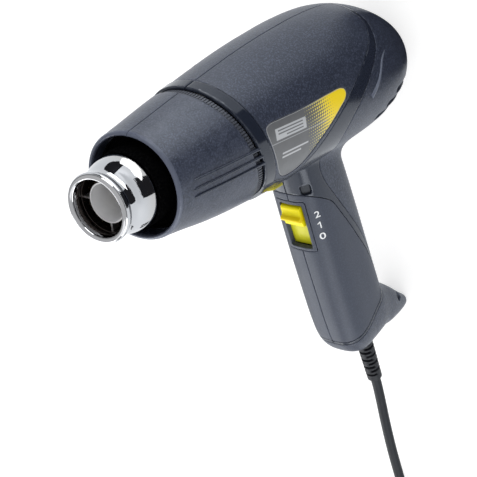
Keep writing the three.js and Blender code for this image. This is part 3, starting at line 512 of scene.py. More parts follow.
# Cutting a skin along a value that is carried by its points
def splitAt(skin, value, snap=0.015):
    value = np.where(np.abs(value) < snap, 0.0, value)
    t = skin["t"]
    sign = value[t]
    crossed = (sign > 0).any(1) & (sign < 0).any(1)
    c = t[crossed]
    if not len(c):
        return skin, value
    edges = np.vstack([c[:, [0, 1]], c[:, [1, 2]], c[:, [2, 0]]])
    pairs = np.sort(edges, 1)
    cut = value[pairs[:, 0]] * value[pairs[:, 1]] < 0
    unique, back = np.unique(pairs[cut], axis=0, return_inverse=True)
    at = np.full(len(edges), -1)
    at[cut] = len(value) + back.reshape(-1)
    w = value[unique[:, 0]] / (value[unique[:, 0]] - value[unique[:, 1]])
    out = {}
    for key, data in skin.items():
        if key != "t":
            a, b = data[unique[:, 0]], data[unique[:, 1]]
            out[key] = np.concatenate([data, a + (b - a) * (w[:, None] if data.ndim == 2 else w)])
    out["n"] = unit(out["n"])
    middles = at.reshape(3, -1)
    new = [t[~crossed]]
    for k in range(3):
        x, y, z = (c[:, (k + step) % 3] for step in range(3))
        xy, yz, zx = (middles[(k + step) % 3] for step in range(3))
        one = (xy >= 0) & (yz < 0) & (zx < 0)
        two = (xy >= 0) & (zx >= 0)
        for corners, where in (((x, xy, z), one), ((xy, y, z), one), ((x, xy, zx), two),
                               ((xy, y, z), two), ((xy, z, zx), two)):
            new.append(np.stack(corners, 1)[where])
    out["t"] = np.vstack(new)
    return out, np.concatenate([value, np.zeros(len(unique))])


def kept(skin, mask):
    t = skin["t"][mask]
    used, back = np.unique(t, return_inverse=True)
    out = {key: data[used] for key, data in skin.items() if key != "t"}
    out["t"] = back.reshape(-1, 3)
    return out


def trimmed(skin, value):
    skin, value = splitAt(skin, value)
    return kept(skin, value[skin["t"]].sum(1) < 0)


def borderEdges(t):
    edges = np.vstack([t[:, [0, 1]], t[:, [1, 2]], t[:, [2, 0]]])
    key = edges[:, 0].astype(np.int64) * (t.max() + 1) + edges[:, 1]
    other = edges[:, 1].astype(np.int64) * (t.max() + 1) + edges[:, 0]
    return edges[~np.isin(key, other)]


def cutSkin(base, limits, gap=0.16, edge=0.35, thick=1.6, lift=0.0, reach=3):
    # limits: names of carried values with their sign, the piece lies where each is below zero
    skin = base
    for name, sign in limits:
        skin = kept(skin, (skin[name][skin["t"]] * sign < reach).any(1))
    for name, sign in limits:
        skin = trimmed(skin, skin[name] * sign + gap)
        skin["to" + name] = -(skin[name] * sign + gap)
    keys = ["to" + name for name, sign in limits]
    for key in keys:
        for level in (edge * 0.3, edge):
            skin, _ = splitAt(skin, skin[key] - level)
    border = np.min([skin[key] for key in keys], axis=0)
    near = np.clip(border, 0, edge)
    drop = edge - np.sqrt(np.maximum(edge ** 2 - (edge - near) ** 2, 0))
    top = skin["v"] + skin["n"] * (lift - drop)[:, None]
    under = skin["v"] + skin["n"] * (lift - thick)
    t, count = skin["t"], len(top)
    rim = borderEdges(t)
    walls = [np.stack([rim[:, 1], rim[:, 0], rim[:, 0] + count], 1),
             np.stack([rim[:, 1], rim[:, 0] + count, rim[:, 1] + count], 1)]
    faces = np.vstack([t, t[:, ::-1] + count, *walls])
    return np.vstack([top, under]), faces, np.concatenate([border, np.zeros(count)])


def arrayObject(name, points, faces, material, edgeValue, sharp=38):
    mesh = bpy.data.meshes.new(name)
    mesh.vertices.add(len(points))
    mesh.vertices.foreach_set("co", (np.asarray(points) * 0.001).ravel())
    mesh.loops.add(len(faces) * 3)
    mesh.loops.foreach_set("vertex_index", faces.ravel().astype(np.int32))
    mesh.polygons.add(len(faces))
    mesh.polygons.foreach_set("loop_start", np.arange(0, len(faces) * 3, 3, dtype=np.int32))
    data = mesh.attributes.new("toEdge", "FLOAT", "POINT").data
    data.foreach_set("value", edgeValue.astype(np.float32))
    mesh.update(calc_edges=True)
    mesh.validate()
    smoothed(mesh, sharp)
    return linked(name, mesh, material)


# Shader sums written as plain Python
class Wire:
    def __init__(self, tree, socket=None):
        self.tree = tree
        self.socket = socket

    def node(self, kind, settings=None, inputs=None, output=0):
        made = self.tree.nodes.new("ShaderNode" + kind)
        for key, value in (settings or {}).items():
            setattr(made, key, value)
        for key, value in (inputs or {}).items():
            if isinstance(value, Wire):
                self.tree.links.new(value.socket, made.inputs[key])
            else:
                made.inputs[key].default_value = value
        return Wire(self.tree, made.outputs[output] if output is not None else None)

    def maths(self, operation, *values, clamp=False):
        return self.node("Math", {"operation": operation, "use_clamp": clamp}, dict(enumerate(values)))

    def __add__(self, other):
        return self.maths("ADD", self, other)

    def __sub__(self, other):
        return self.maths("SUBTRACT", self, other)

    def __rsub__(self, other):
        return self.maths("SUBTRACT", other, self)

    def __mul__(self, other):
        return self.maths("MULTIPLY", self, other)

    def __truediv__(self, other):
        return self.maths("DIVIDE", self, other)

    __radd__ = __add__
    __rmul__ = __mul__

    def clamped(self):
        return self.maths("ADD", self, 0.0, clamp=True)

    def above(self, other):
        return self.maths("GREATER_THAN", self, other)

    def below(self, other):
        return self.maths("LESS_THAN", self, other)

    def ease(self, low, high):
        values = {0: self, 1: low, 2: high, 3: 0.0, 4: 1.0}
        return self.node("MapRange", {"interpolation_type": "SMOOTHSTEP"}, values)


def linear(colour):
    # 0-255 display colour to the numbers the shader takes
    parts = [c / 255 for c in colour]
    return tuple(c / 12.92 if c <= 0.04045 else ((c + 0.055) / 1.055) ** 2.4 for c in parts)


def tinted(colour, share, more=0.0):
    return tuple(c * share + more for c in colour)


def startMaterial(name, settings=None, shader="BsdfPrincipled"):
    material = bpy.data.materials.new(name)
    material.use_nodes = True
    tree = material.node_tree
    tree.nodes.clear()
    wire = Wire(tree)
    shader = wire.node(shader, {}, settings)
    wire.node("OutputMaterial", {}, {0: shader}, None)
    return material, wire, shader.socket.node


def joinTo(wire, shader, name):
    wire.tree.links.new(wire.socket, shader.inputs[name])


def objectSpace(w):
    return w.node("TexCoord", output=3)


def axis(place, index):
    return place.node("SeparateXYZ", {}, {"Vector": place}, index)


def edgeMask(w, low, high):
    # 1 at the cut edge of a skin, easing to 0 between the two distances in millimetres
    return 1 - w.node("Attribute", {"attribute_name": "toEdge"}, output=2).ease(low, high)


def noise(w, place, scale, detail=3.0, rough=0.55):
    return w.node("TexNoise", {}, {"Vector": place, "Scale": scale, "Detail": detail, "Roughness": rough})


def colourBlend(w, mask, first, second):
    first, second = (c if isinstance(c, Wire) else (*c, 1) for c in (first, second))
    return w.node("Mix", {"data_type": "RGBA"}, {0: mask, 6: first, 7: second}, 2)


def dressed(material, shader, paint, rough, height, strength, distance):
    # Colour, roughness and bump, the same three for every finish
    joinTo(paint, shader, "Base Color")
    joinTo(rough.clamped(), shader, "Roughness")
    bump = height.node("Bump", {}, {"Strength": strength, "Distance": distance, "Height": height})
    joinTo(bump, shader, "Normal")
    return material


plasticLook = {
    "tint": (0.86, 0.92, 1.0, 1), "coatRoughness": 0.12,
    # sizes of the noises, and how far the paint of specks, worn edges and the painted highlight on the lip
    # goes
    "cloud": 38.0, "scuff": 190.0, "speck": 1050.0,
    "speckPaint": (2.4, 0.011), "wornPaint": (1.9, 0.02), "lipHighlightPaint": (2.6, 0.045),
    # low and high end of each mask, in mm for the worn edge and the lip
    "cloudMask": (0.3, 0.7), "speckMask": (0.46, 0.66), "scuffMask": (0.38, 0.62), "edge": (0.05, 0.9),
    "lipBelow": 0.5, "lipAbove": 0.7,
    # what clouds, scuffs and polish do to the roughness, and the depth of the grain in m per mm of its size
    "cloudRough": 0.09, "scuffRough": 0.1, "polish": 0.1, "scuffHeight": 0.15, "depth": 0.0002,
}


def plastic(name, colour, roughness, grain, grainSize, worn=0.0, specular=0.5, spread=0.02, lip=None):
    # Moulded plastic: fine grain, faint cloudiness, lighter handled edges, and a painted highlight round a
    # lip at a given height
    look = plasticLook
    material, w, shader = startMaterial(name, {"Specular IOR Level": specular, "Specular Tint": look["tint"],
                                               "Coat Roughness": look["coatRoughness"]})
    place = objectSpace(w)
    cloud = noise(w, place, look["cloud"], 4.0)
    fine = noise(w, place, 1000.0 / grainSize, 2.0, 0.6)
    scuff = noise(w, place, look["scuff"], 5.0, 0.7)
    speck = noise(w, place, look["speck"], 2.0, 0.7)
    base = linear(colour)
    light, dark = tinted(base, 1 + spread * 2), tinted(base, 1 - spread * 2)
    paint = colourBlend(w, cloud.ease(*look["cloudMask"]), dark, light)
    paint = colourBlend(w, speck.ease(*look["speckMask"]) * grain, paint, tinted(base, *look["speckPaint"]))
    rough = roughness + (cloud - 0.5) * look["cloudRough"] + (scuff - 0.5) * look["scuffRough"]
    if worn:
        rub = (edgeMask(w, *look["edge"]) * scuff.ease(*look["scuffMask"]) * worn).clamped()
        paint = colourBlend(w, rub, paint, tinted(base, *look["wornPaint"]))
        rough = rough - rub * look["polish"]
    if lip:
        # Painted highlight: a lighter, smoother band round the lip at the given height, where light would
        # catch the mouth's edge
        lipHighlightBand = (axis(place, 2) * 1000).ease(lip - look["lipBelow"], lip + look["lipAbove"])
        paint = colourBlend(w, lipHighlightBand * (0.75 + cloud * 0.15), paint, tinted(base, *look["lipHighlightPaint"]))
        rough = rough - lipHighlightBand * look["polish"]
    height = fine + scuff * look["scuffHeight"]
    return dressed(material, shader, paint, rough, height, grain, grainSize * look["depth"])


metalLook = {
    "lines": 400.0, "cloud": 60.0, "cloudMask": (0.35, 0.7), "tarnish": 0.86, "depth": 0.0002,
}


def metal(name, colour, roughness, streak=0.0, stretch=(1, 1, 0.05), bump=0.05):
    # Bare or plated metal with a fine drawn finish and faint tarnish
    look = metalLook
    material, w, shader = startMaterial(name, {"Metallic": 1.0})
    place = objectSpace(w)
    lines = noise(w, w.node("Mapping", {}, {"Vector": place, "Scale": stretch}), look["lines"])
    cloud = noise(w, place, look["cloud"], 4.0)
    base = linear(colour)
    paint = colourBlend(w, cloud.ease(*look["cloudMask"]), base, tinted(base, look["tarnish"]))
    rough = roughness + (lines - 0.5) * streak + (cloud - 0.5) * roughness * 0.5
    return dressed(material, shader, paint, rough, lines, bump, look["depth"])


slate = (43, 48, 62)
plastics = {
    # colour, roughness, grain, grain size in mm, wear of the edges
    "shellGlossy": ((35, 40, 53), 0.2, 0.12, 0.7, 0.35),
    "ribSatin": ((35, 40, 53), 0.28, 0.45, 0.8, 0.35),
    "barrelShell": (slate, 0.38, 0.85, 1.0, 0.35),
    "collarGloss": ((33, 38, 50), 0.12, 0.04, 0.6, 0.35),
    "shellTextured": (slate, 0.38, 0.85, 1.0, 0.35),
    "gripSatin": ((52, 57, 71), 0.45, 0.2, 0.5, 0.35),
    # lighter than the shell round it: a painted highlight along the dome's crescent ridge
    "ridgeSatin": ((98, 104, 119), 0.4, 0.1, 0.5, 0.35),
    "blackRubber": ((13, 14, 18), 0.5, 0.3, 0.6),
    "grooveGrey": ((66, 69, 78), 0.45, 0.3, 0.6),
    # near black and without reflection: black plastic with painted shade inside the barrel's mouth
    "mouthBlack": ((4, 4, 5), 0.8, 0.3, 0.8),
    "blackPlastic": ((30, 31, 34), 0.5, 0.25, 0.7),
    # darker than the housing round it: dark plastic with painted shade on the floors of the small recesses
    "pocketShadePlastic": ((22, 25, 33), 0.5, 0.3, 0.6),
    "fanPlastic": ((205, 203, 194), 0.45, 0.15, 0.9),
    "cordCover": ((15, 17, 22), 0.5, 0.15, 0.5),
    "digitInk": ((236, 238, 240), 0.45, 0.1, 0.4),
    "filterFelt": ((12, 13, 15), 0.8, 0.5, 1.2),
    "mica": ((196, 178, 140), 0.5, 0.4, 1.6),
    "ceramic": ((226, 220, 206), 0.7, 0.4, 0.8),
}
plasticMore = {
    # barrelShell gets a painted highlight round its mouth's lip at 223.9 mm
    "barrelShell": {"lip": 223.9}, "blackRubber": {"specular": 0.35}, "mouthBlack": {"specular": 0.0},
    "cordCover": {"specular": 0.3, "spread": 0.09}, "filterFelt": {"specular": 0.1}, "mica": {"spread": 0.12},
}
metals = {
    # colour, roughness, streaks, stretch of the lines, bump
    "motorMetal": ((118, 116, 112), 0.42, 0.2),
    "steel": ((172, 172, 170), 0.3, 0.25),
    "screwSteel": ((150, 152, 156), 0.32, 0.2, (1, 0.1, 1)),
    "brass": ((190, 158, 92), 0.35, 0.2),
    "copperWire": ((176, 108, 70), 0.4, 0.25),
    "guideSteel": ((236, 236, 238), 0.45, 0.25, (1, 1, 0.05), 0.12),
    "heatedSteel": ((74, 68, 66), 0.3, 0.2, (1, 1, 0.05), 0.1),
    # light steel made near white: painted light inside the shaded guide tube
    "guideInside": ((252, 252, 253), 0.55, 0.2, (1, 1, 0.05), 0.1),
}
finishes = {name: plastic(name, *look, **plasticMore.get(name, {})) for name, look in plastics.items()}
finishes.update({name: metal(name, *look) for name, look in metals.items()})


chromeLook = {
    "bright": (190, 191, 194), "warm": (178, 173, 165),
    # height in m between which the warm tone fades, sizes of the noises, stretch of the polishing lines
    "heat": (0.2325, 0.2420), "haze": 70.0, "polish": 240.0, "stretch": (1, 1, 6),
    "hazeMask": (0.6, 0.9), "hazePaint": 0.12, "dullMask": (0.45, 0.9), "dull": 0.05,
    "rough": 0.035, "bump": 0.05, "depth": 0.0003,
}


def chromeMaterial(look):
    # Polished plating, faintly warmed where the nozzle's foot gets hot
    material, w, shader = startMaterial("chromePlate", {"Metallic": 1.0, "Specular Tint": (1, 1, 1, 1)})
    place = objectSpace(w)
    haze = noise(w, place, look["haze"], 5.0, 0.6)
    lines = w.node("Mapping", {}, {"Vector": place, "Scale": look["stretch"]})
    polish = noise(w, lines, look["polish"], 2.0)
    warmth = 1 - axis(place, 2).ease(*look["heat"])
    warmed = warmth * 0.5 + haze.ease(*look["hazeMask"]) * look["hazePaint"]
    paint = colourBlend(w, warmed, linear(look["bright"]), linear(look["warm"]))
    rough = look["rough"] + haze.ease(*look["dullMask"]) * look["dull"] + warmth * look["dull"]
    return dressed(material, shader, paint, rough, polish + haze * 0.5, look["bump"], look["depth"])


yellowLook = {
    "specular": 0.3, "tint": (1.0, 0.95, 0.7, 1), "fine": 1500.0, "cloud": 90.0, "cloudMask": (0.3, 0.7),
    "darker": 0.9, "rough": 0.36, "fineRough": 0.2, "cloudRough": 0.1, "depth": 0.00015,
    # how far the painted shade along the ridge fades before and behind it in m, and how strong it is
    "ridgeBefore": 0.0016, "ridgeBehind": 0.0012, "ridgeShadePaint": 0.45,
}


def yellowMaterial(name, colour, stipple, shade=None, ridge=None):
    # Yellow plastic with a fine stipple, and painted shade in a deeper orange along the switch's ridge
    look = yellowLook
    settings = {"Specular IOR Level": look["specular"], "Specular Tint": look["tint"]}
    material, w, shader = startMaterial(name, settings)
    place = objectSpace(w)
    fine = noise(w, place, look["fine"], 2.0)
    cloud = noise(w, place, look["cloud"])
    base = linear(colour)
    paint = colourBlend(w, cloud.ease(*look["cloudMask"]), base, tinted(base, look["darker"]))
    if ridge:
        along = ((axis(place, 0) - handle["rootX"] / 1000) * float(down[0])
                 + (axis(place, 2) - handle["rootZ"] / 1000) * float(down[2]))
        low, high = ridge
        after = along.ease(low - look["ridgeBefore"], low)
        ridgeShadeBand = after * (1 - along.ease(high, high + look["ridgeBehind"]))
        # Painted shade: a deeper orange band along the ridge
        paint = colourBlend(w, ridgeShadeBand * look["ridgeShadePaint"], paint, linear(shade))
    rough = look["rough"] + (fine - 0.5) * look["fineRough"] + (cloud - 0.5) * look["cloudRough"]
    return dressed(material, shader, paint, rough, fine, stipple, look["depth"])


labelLook = {
    "ground": (104, 106, 109), "tip": (255, 224, 30), "pale": (240, 226, 110), "line": (178, 180, 184),
    # grid of the dots, heights where they begin and where they close up, slant; growth, least size, softness
    "dot": 1.75, "dotsFrom": 123.5, "solidFrom": 99.0, "slant": -0.2,
    "dotGrow": 0.6, "dotLeast": 0.09, "dotSoft": 0.04, "dotsBeyond": 1.5,
    "mottle": 120.0, "mottleMask": (0.3, 0.7), "darker": 0.86, "sheen": 500.0,
    "rough": 0.38, "sheenRough": 0.12, "dotRough": 0.06, "bump": 0.1, "depth": 0.0001,
    "ruleMask": (0.16, 0.32), "rulePaint": 0.7, "stripeSoft": 0.07, "stripePaint": 0.9,
    "edge": (0.25, 0.5), "edgePaint": 0.75,
    # thin rule along the label: foot, height, lean and the height it starts at
    "rule": (1.3, 154, 0.079, 108.0),
    # stripes along the label: middle, half width, from, to, colour
    "stripes": [
        (4.5, 3.1, 125.5, 150.5, (196, 199, 203)), (6.2, 0.35, 128.0, 148.5, (86, 88, 92)),
        (4.5, 0.35, 128.0, 148.5, (86, 88, 92)), (2.8, 0.35, 128.0, 142.0, (86, 88, 92)),
        (-7.2, 0.5, 124.0, 146.0, (200, 202, 206)), (-9.4, 0.5, 130.0, 146.0, (200, 202, 206)),
    ],
}


def labelMaterial(look):
    # Grey foil label that turns yellow towards its tip through a grid of growing dots
    material, w, shader = startMaterial("labelFoil", {"Specular IOR Level": 0.5})
    place = objectSpace(w)
    x, z = axis(place, 0) * 1000, axis(place, 2) * 1000
    u, v = (w.maths("FRACT", way / look["dot"] + 100) - 0.5 for way in (x, z))
    reach = w.maths("SQRT", u * u + v * v)
    slantZ = z + x * look["slant"]
    grow = ((look["dotsFrom"] - slantZ) / (look["dotsFrom"] - look["solidFrom"])).clamped()
    inside = grow * look["dotGrow"] + look["dotLeast"] - reach
    dots = inside.ease(-look["dotSoft"], look["dotSoft"])
    dots = dots * slantZ.below(look["dotsFrom"] + look["dotsBeyond"])
    grey = linear(look["ground"])
    mottle = noise(w, place, look["mottle"]).ease(*look["mottleMask"])
    ground = colourBlend(w, mottle, grey, tinted(grey, look["darker"]))
    tint = colourBlend(w, grow.ease(0.2, 1.0), linear(look["pale"]), linear(look["tip"]))
    paint = colourBlend(w, dots, ground, tint)
    foot, height, lean, start = look["rule"]
    across = x + foot + (height - z) * lean
    rule = 1 - w.maths("ABSOLUTE", across).ease(*look["ruleMask"])
    paint = colourBlend(w, rule * look["rulePaint"] * z.above(start), paint, linear(look["line"]))
    for middle, half, start, end, tone in look["stripes"]:
        away = w.maths("ABSOLUTE", across - middle)
        stripe = 1 - away.ease(half - look["stripeSoft"], half + look["stripeSoft"])
        mask = stripe * z.above(start) * z.below(end) * look["stripePaint"]
        paint = colourBlend(w, mask, paint, linear(tone))
    rim = edgeMask(w, *look["edge"]) * look["edgePaint"]
    paint = colourBlend(w, rim, paint, linear(look["line"]))
    sheen = noise(w, place, look["sheen"], 2.0)
    rough = look["rough"] + (sheen - 0.5) * look["sheenRough"] - dots * look["dotRough"]
    return dressed(material, shader, paint, rough, dots * 0.5 + sheen * 0.2, look["bump"], look["depth"])


finishes["chrome"] = chromeMaterial(chromeLook)
# The second colour is painted shade along the switch's ridge
finishes["switchYellow"] = yellowMaterial("switchYellow", (255, 240, 6), 0.3, (250, 205, 2), (0.0078, 0.0105))
finishes["plateYellow"] = yellowMaterial("plateYellow", (214, 212, 40), 0.3)
finishes["inlayYellow"] = yellowMaterial("inlayYellow", (180, 173, 48), 0.15)
finishes["labelFoil"] = labelMaterial(labelLook)
print("finishes ready")


# Cord with its coil, lying as the part's solids do
def makeCord():
    path = cordPath(cord)
    tube = tubeAlong(path, cord["radius"], cord["sides"])
    piece = meshObject("cord", *tube, finishes["cordCover"], sharp=70)
    finished(piece, "cord_grey", "cord_free", "cord_coil")
    return piece, path


plugShape = {
    "sides": 48, "pinSides": 32, "pinApart": 9.5, "power": 2.6, "bodyStep": 0.6,
    # radius and height of the sleeve, height and half sizes of the body, radius and height of a pin
    "sleeve": [(4.2, 0), (4.5, 0.4), (5, 2), (5.35, 8), (5.7, 14), (6, 20), (6.3, 22.6)],
    "body": [(22, 7, 8, 0), (24, 8.2, 9.8, 0), (27, 9.4, 11.8, 0), (36, 10.7, 14.8, 0),
             (46, 11, 15.5, 0), (56, 11, 15.5, 0), (57.4, 10.6, 15, 0), (58, 9.6, 14, 0)],
    "pin": [(0.001, 58.3), (2.4, 58.3), (2.4, 74.6), (2.3, 75.8), (1.9, 76.7), (1.2, 77.2), (0.001, 77.3)],
}


def plugPoint(px, py, pz):
    # Plug frame: its own z runs away from the tool
    x0, y0 = cord["coilX"] - cord["tailRun"] - cord["gap"], cord["coilY"] - cord["coilRadius"]
    return x0 - pz, y0 + py, cord["plugZ"] + px


def makePlug():
    around = circle(plugShape["sides"])
    rows = [[(r * math.cos(a), r * math.sin(a), z) for a in around] for r, z in plugShape["sleeve"]]
    u, v = squareRound(around, plugShape["power"])
    for z, (hx, hy, _) in zip(*smoothTable(plugShape["body"], plugShape["bodyStep"])):
        rows.append(np.stack([hx * u, hy * v, np.full(len(u), z)], 1))
    points, faces = ringGrid(rows, caps=True)
    world = [plugPoint(*p) for p in points]
    pieces = [solid("plugBody", world, faces, "blackPlastic", "cord_grey", "plug_body", sharp=50)]
    points, faces = turned(plugShape["pin"], plugShape["pinSides"], closed=False)
    for side, name in ((-1, "plug_pin_left"), (1, "plug_pin_right")):
        world = [plugPoint(x, y + side * plugShape["pinApart"], z) for x, y, z in points]
        pieces.append(solid(name.replace("_", "") + "Metal", world, faces, "brass", "chrome", name, sharp=50))
    return pieces


cordPiece, cordLine = makeCord()
makePlug()
print("cord laid")


def onSurface(px, py):
    # The point of the smooth form that the photograph shows at a place in its frame
    look = cameraPlace
    eye = np.array(look["eye"]) * 1000
    right, up, back = (np.array(look[key]) for key in ("right", "up", "back"))
    ray = unit(right * (px - look["middle"]) - up * (py - look["middle"]) - back * look["focal"])
    far = np.arange(look["near"], look["far"], look["step"])
    hit = np.argmax(toolDistance(eye + far[:, None] * ray) < 0)
    t0, t1 = far[hit - 1], far[hit]
    for _ in range(look["halvings"]):
        mid = (t0 + t1) / 2
        inside = toolDistance((eye + mid * ray)[None])[0] < 0
        t0, t1 = (t0, mid) if inside else (mid, t1)
    return eye + t1 * ray


# The tool's skins
skins = {
    # top, end, half width and corner of the switch's frame and window, cut only where t is above facing
    "bezel": (-1.8, 33.4, 9.4, 0.8), "window": (0.6, 31.2, 7.1, 0.6), "facing": 6,
    "slots": [(-16.6, 33.5), (-22.2, 42), (-27.2, 51)], "slotHalf": 1.9, "slotLong": 40, "slotCorner": 1.4,
    "slotInner": 2.5, "filterEdge": 2.5,
    # place of each screw, x and z on the body or s and t on the handle, and the height of its seat
    "bodyScrews": [(28.5, 146, 16), (29.5, 104, 16), (-31.5, 134, 14)],
    "handleScrews": [(56, -7.5, 9), (92, 6, 9)],
    "screwHole": 3.9, "screwSide": 2, "collarLift": 0.5, "grooveDepth": 1.6, "labelDepth": 0.3,
    # place in the photograph in pixels and half sizes of each small recess
    "pockets": [(305.2, 190.6, 3.1, 3.0), (398.8, 296.0, 2.6, 2.3)], "pocketCorner": 1.2, "pocketReach": 9,
    # value that a carried field has well away from what it describes
    "outside": 50.0,
}
screwPlaces = [*skins["bodyScrews"]]
screwPlaces += [(*handlePoint(s, t)[[0, 2]], seat) for s, t, seat in skins["handleScrews"]]


def roundedBox(a, b, halfA, halfB, radius):
    qa, qb = np.abs(a) - halfA + radius, np.abs(b) - halfB + radius
    return np.hypot(np.maximum(qa, 0), np.maximum(qb, 0)) + np.minimum(np.maximum(qa, qb), 0) - radius


def prepareBase():
    p, t = baseSurface()
    n = normalsAt(toolDistance, p)
    base = {"v": p, "n": n, "t": t}
    for name in outline:
        base[name] = outlineField(name, p, n)
    base["side"] = -scaled(p[:, 1], np.tile((0, 1.0, 0), (len(p), 1)), n)
    for name in ("collarRear", "grooveRear", "grooveFront"):
        base[name] = planeField(p, n, ringPlanes[name], ringPlanes["slant"])
    s, along, y = handleCoords(p)
    for name in ("bezel", "window"):
        top, end, half, corner = skins[name]
        behind = np.where(along > skins["facing"], 0, skins["outside"])
        base[name] = roundedBox(s - (top + end) / 2, y, (end - top) / 2, half, corner) + behind
    slots, holes, pocket = (np.full(len(p), skins["outside"]) for _ in range(3))
    for x, top in skins["slots"]:
        long = skins["slotLong"]
        low = roundedBox(p[:, 0] - x, p[:, 2] - (top - long), skins["slotHalf"], long, skins["slotCorner"])
        slots = np.minimum(slots, np.maximum(low, skins["slotInner"] - np.abs(p[:, 1])))
    for x, z, _ in screwPlaces:
        away = np.hypot(p[:, 0] - x, p[:, 2] - z) - skins["screwHole"]
        holes = np.minimum(holes, np.where(p[:, 1] > skins["screwSide"], away, skins["outside"]))
    mirrored = p * (1, 0, 1) - np.abs(p) * (0, 1, 0)
    for px, py, high, wideHalf in skins["pockets"]:
        nearest = np.argmin(((mirrored - onSurface(px, py)) ** 2).sum(1))
        out = n[nearest] * np.array([1, 1 if p[nearest, 1] < 0 else -1, 1])
        aim = unit(down - (down @ out) * out)
        rel = mirrored - mirrored[nearest]
        shape = roundedBox(rel @ aim, rel @ np.cross(out, aim), high, wideHalf, skins["pocketCorner"])
        close = np.linalg.norm(rel, axis=1) < skins["pocketReach"]
        pocket = np.minimum(pocket, np.where(close, shape, skins["outside"]))
    base.update(slots=slots, holes=holes, pocket=pocket, filter=slots - skins["filterEdge"])
    return base


base = prepareBase()
print("smooth form ready", len(base["v"]), "points")


def skin(name, limits, material, slot, node, **shape):
    points, faces, border = cutSkin(base, limits, **shape)
    finished(arrayObject(name, points, faces, finishes[material], border), slot, node)
    print(name, len(faces), "faces")


skin("rearShell", [("rear", 1), ("slots", -1), ("pocket", -1)],
     "shellTextured", "shell_textured", "rear_shell", thick=2.2)
for word, side in (("Left", -1), ("Right", 1)):
    low = word.lower()
    skin("housing" + word, [("rear", -1), ("panel", -1), ("grip", -1), ("collarRear", 1), ("bezel", -1),
                            ("side", side), ("pocket", -1), ("holes", -1)],
         "shellGlossy", "shell_glossy", "housing_" + low, thick=2.0)
    skin("topPanel" + word, [("panel", 1), ("collarRear", 1), ("label", -1), ("side", side), ("holes", -1)],
         "shellTextured", "shell_textured", "top_panel_" + low)
    skin("gripPanel" + word, [("grip", 1), ("bezel", -1), ("side", side), ("holes", -1)],
         "gripSatin", "grip_satin", "grip_panel_" + low)
    skin("labelFoil" + word, [("label", 1), ("side", side)], "labelFoil", "label_grey", "label_" + low,
         gap=0.1, edge=0.15, thick=0.45, lift=-skins["labelDepth"])
    skin("collar" + word, [("collarRear", -1), ("grooveRear", 1), ("side", side)],
         "collarGloss", "shell_glossy", "collar_" + low, lift=skins["collarLift"], edge=0.7, gap=0.3)
    # The floors of the small recesses, in a darker finish that paints their shade
    skin("neckPocket" + word, [("pocket", 1), ("side", side)], "pocketShadePlastic", "shell_glossy",
         "housing_" + low, gap=-0.3, lift=-1.3, thick=0.5)
skin("grooveFloor", [("grooveRear", -1), ("grooveFront", 1)], "grooveGrey", "black_rubber", "groove_ring",
     gap=0.35, lift=-skins["grooveDepth"], thick=0.8)
skin("switchFrame", [("bezel", 1), ("window", -1)], "gripSatin", "grip_satin", "switch_bezel",
     gap=0.12, edge=0.3, thick=3.0, lift=0.1)
skin("intakeFilter", [("filter", 1)], "filterFelt", "black_plastic", "rear_shell",
     gap=0.0, lift=-2.4, thick=0.5)
print("skins ready")


# Barrel in two half shells with three raised ribs on each side and a rolled rim
barrel = {
    "columns": 120, "rimFrom": 222.0,
    # gap and radius at the seam, extra columns there and how far the edge falls, angles in radians
    "seam": 0.16, "seamRadius": 30, "seamSteps": (0, 0.004, 0.008, 0.014), "seamFall": (0.35, 0.12, 0.03),
    "seamZone": 0.03,
    # inset and lead of the rear rows, height and inset of the rim's rows and of the inner wall's
    "foot": ((3.2, 0), (0.45, 0), (0.13, 0.13), (0.0, 0.45)), "footGap": 0.15, "rows": 40,
    "rim": ((222.9, 0.0), (223.9, 0.08), (224.7, 0.32), (225.35, 0.75), (225.8, 1.3), (225.95, 1.75),
            (225.75, 2.2), (225.2, 2.5), (224.4, 2.62), (222, 2.62), (218, 2.62), (214, 2.62)),
    "inner": ((214.0, 3.4), (200.0, 3.4), (186.0, 3.4)),
    # x of each rib's foot and tip, half width and rise, its rows, and its section from -1 to 1
    "ribs": [(1.2, 3.9), (-3.4, -0.9), (-7.9, -5.0)], "ribHalf": 0.75, "ribRise": 0.85, "ribSink": 0.6,
    "ribRows": 26, "ribStraight": 211, "ribEnd": (212.4, 213.6, 214.5, 215.1, 215.4), "ribTaper": 4.0,
    "ribSection": ((-1, -0.9), (-1, 0.35), (-0.8, 0.85), (-0.4, 1), (0.4, 1), (0.8, 0.85), (1, 0.35),
                   (1, -0.9)),
}


def barrelSection(z, theta, inset):
    cx, hx, hy = lookUp(bodyTable, z)
    u, v = squareRound(theta, form["bodyPower"])
    return cx + (hx - inset) * u, (hy - inset) * v


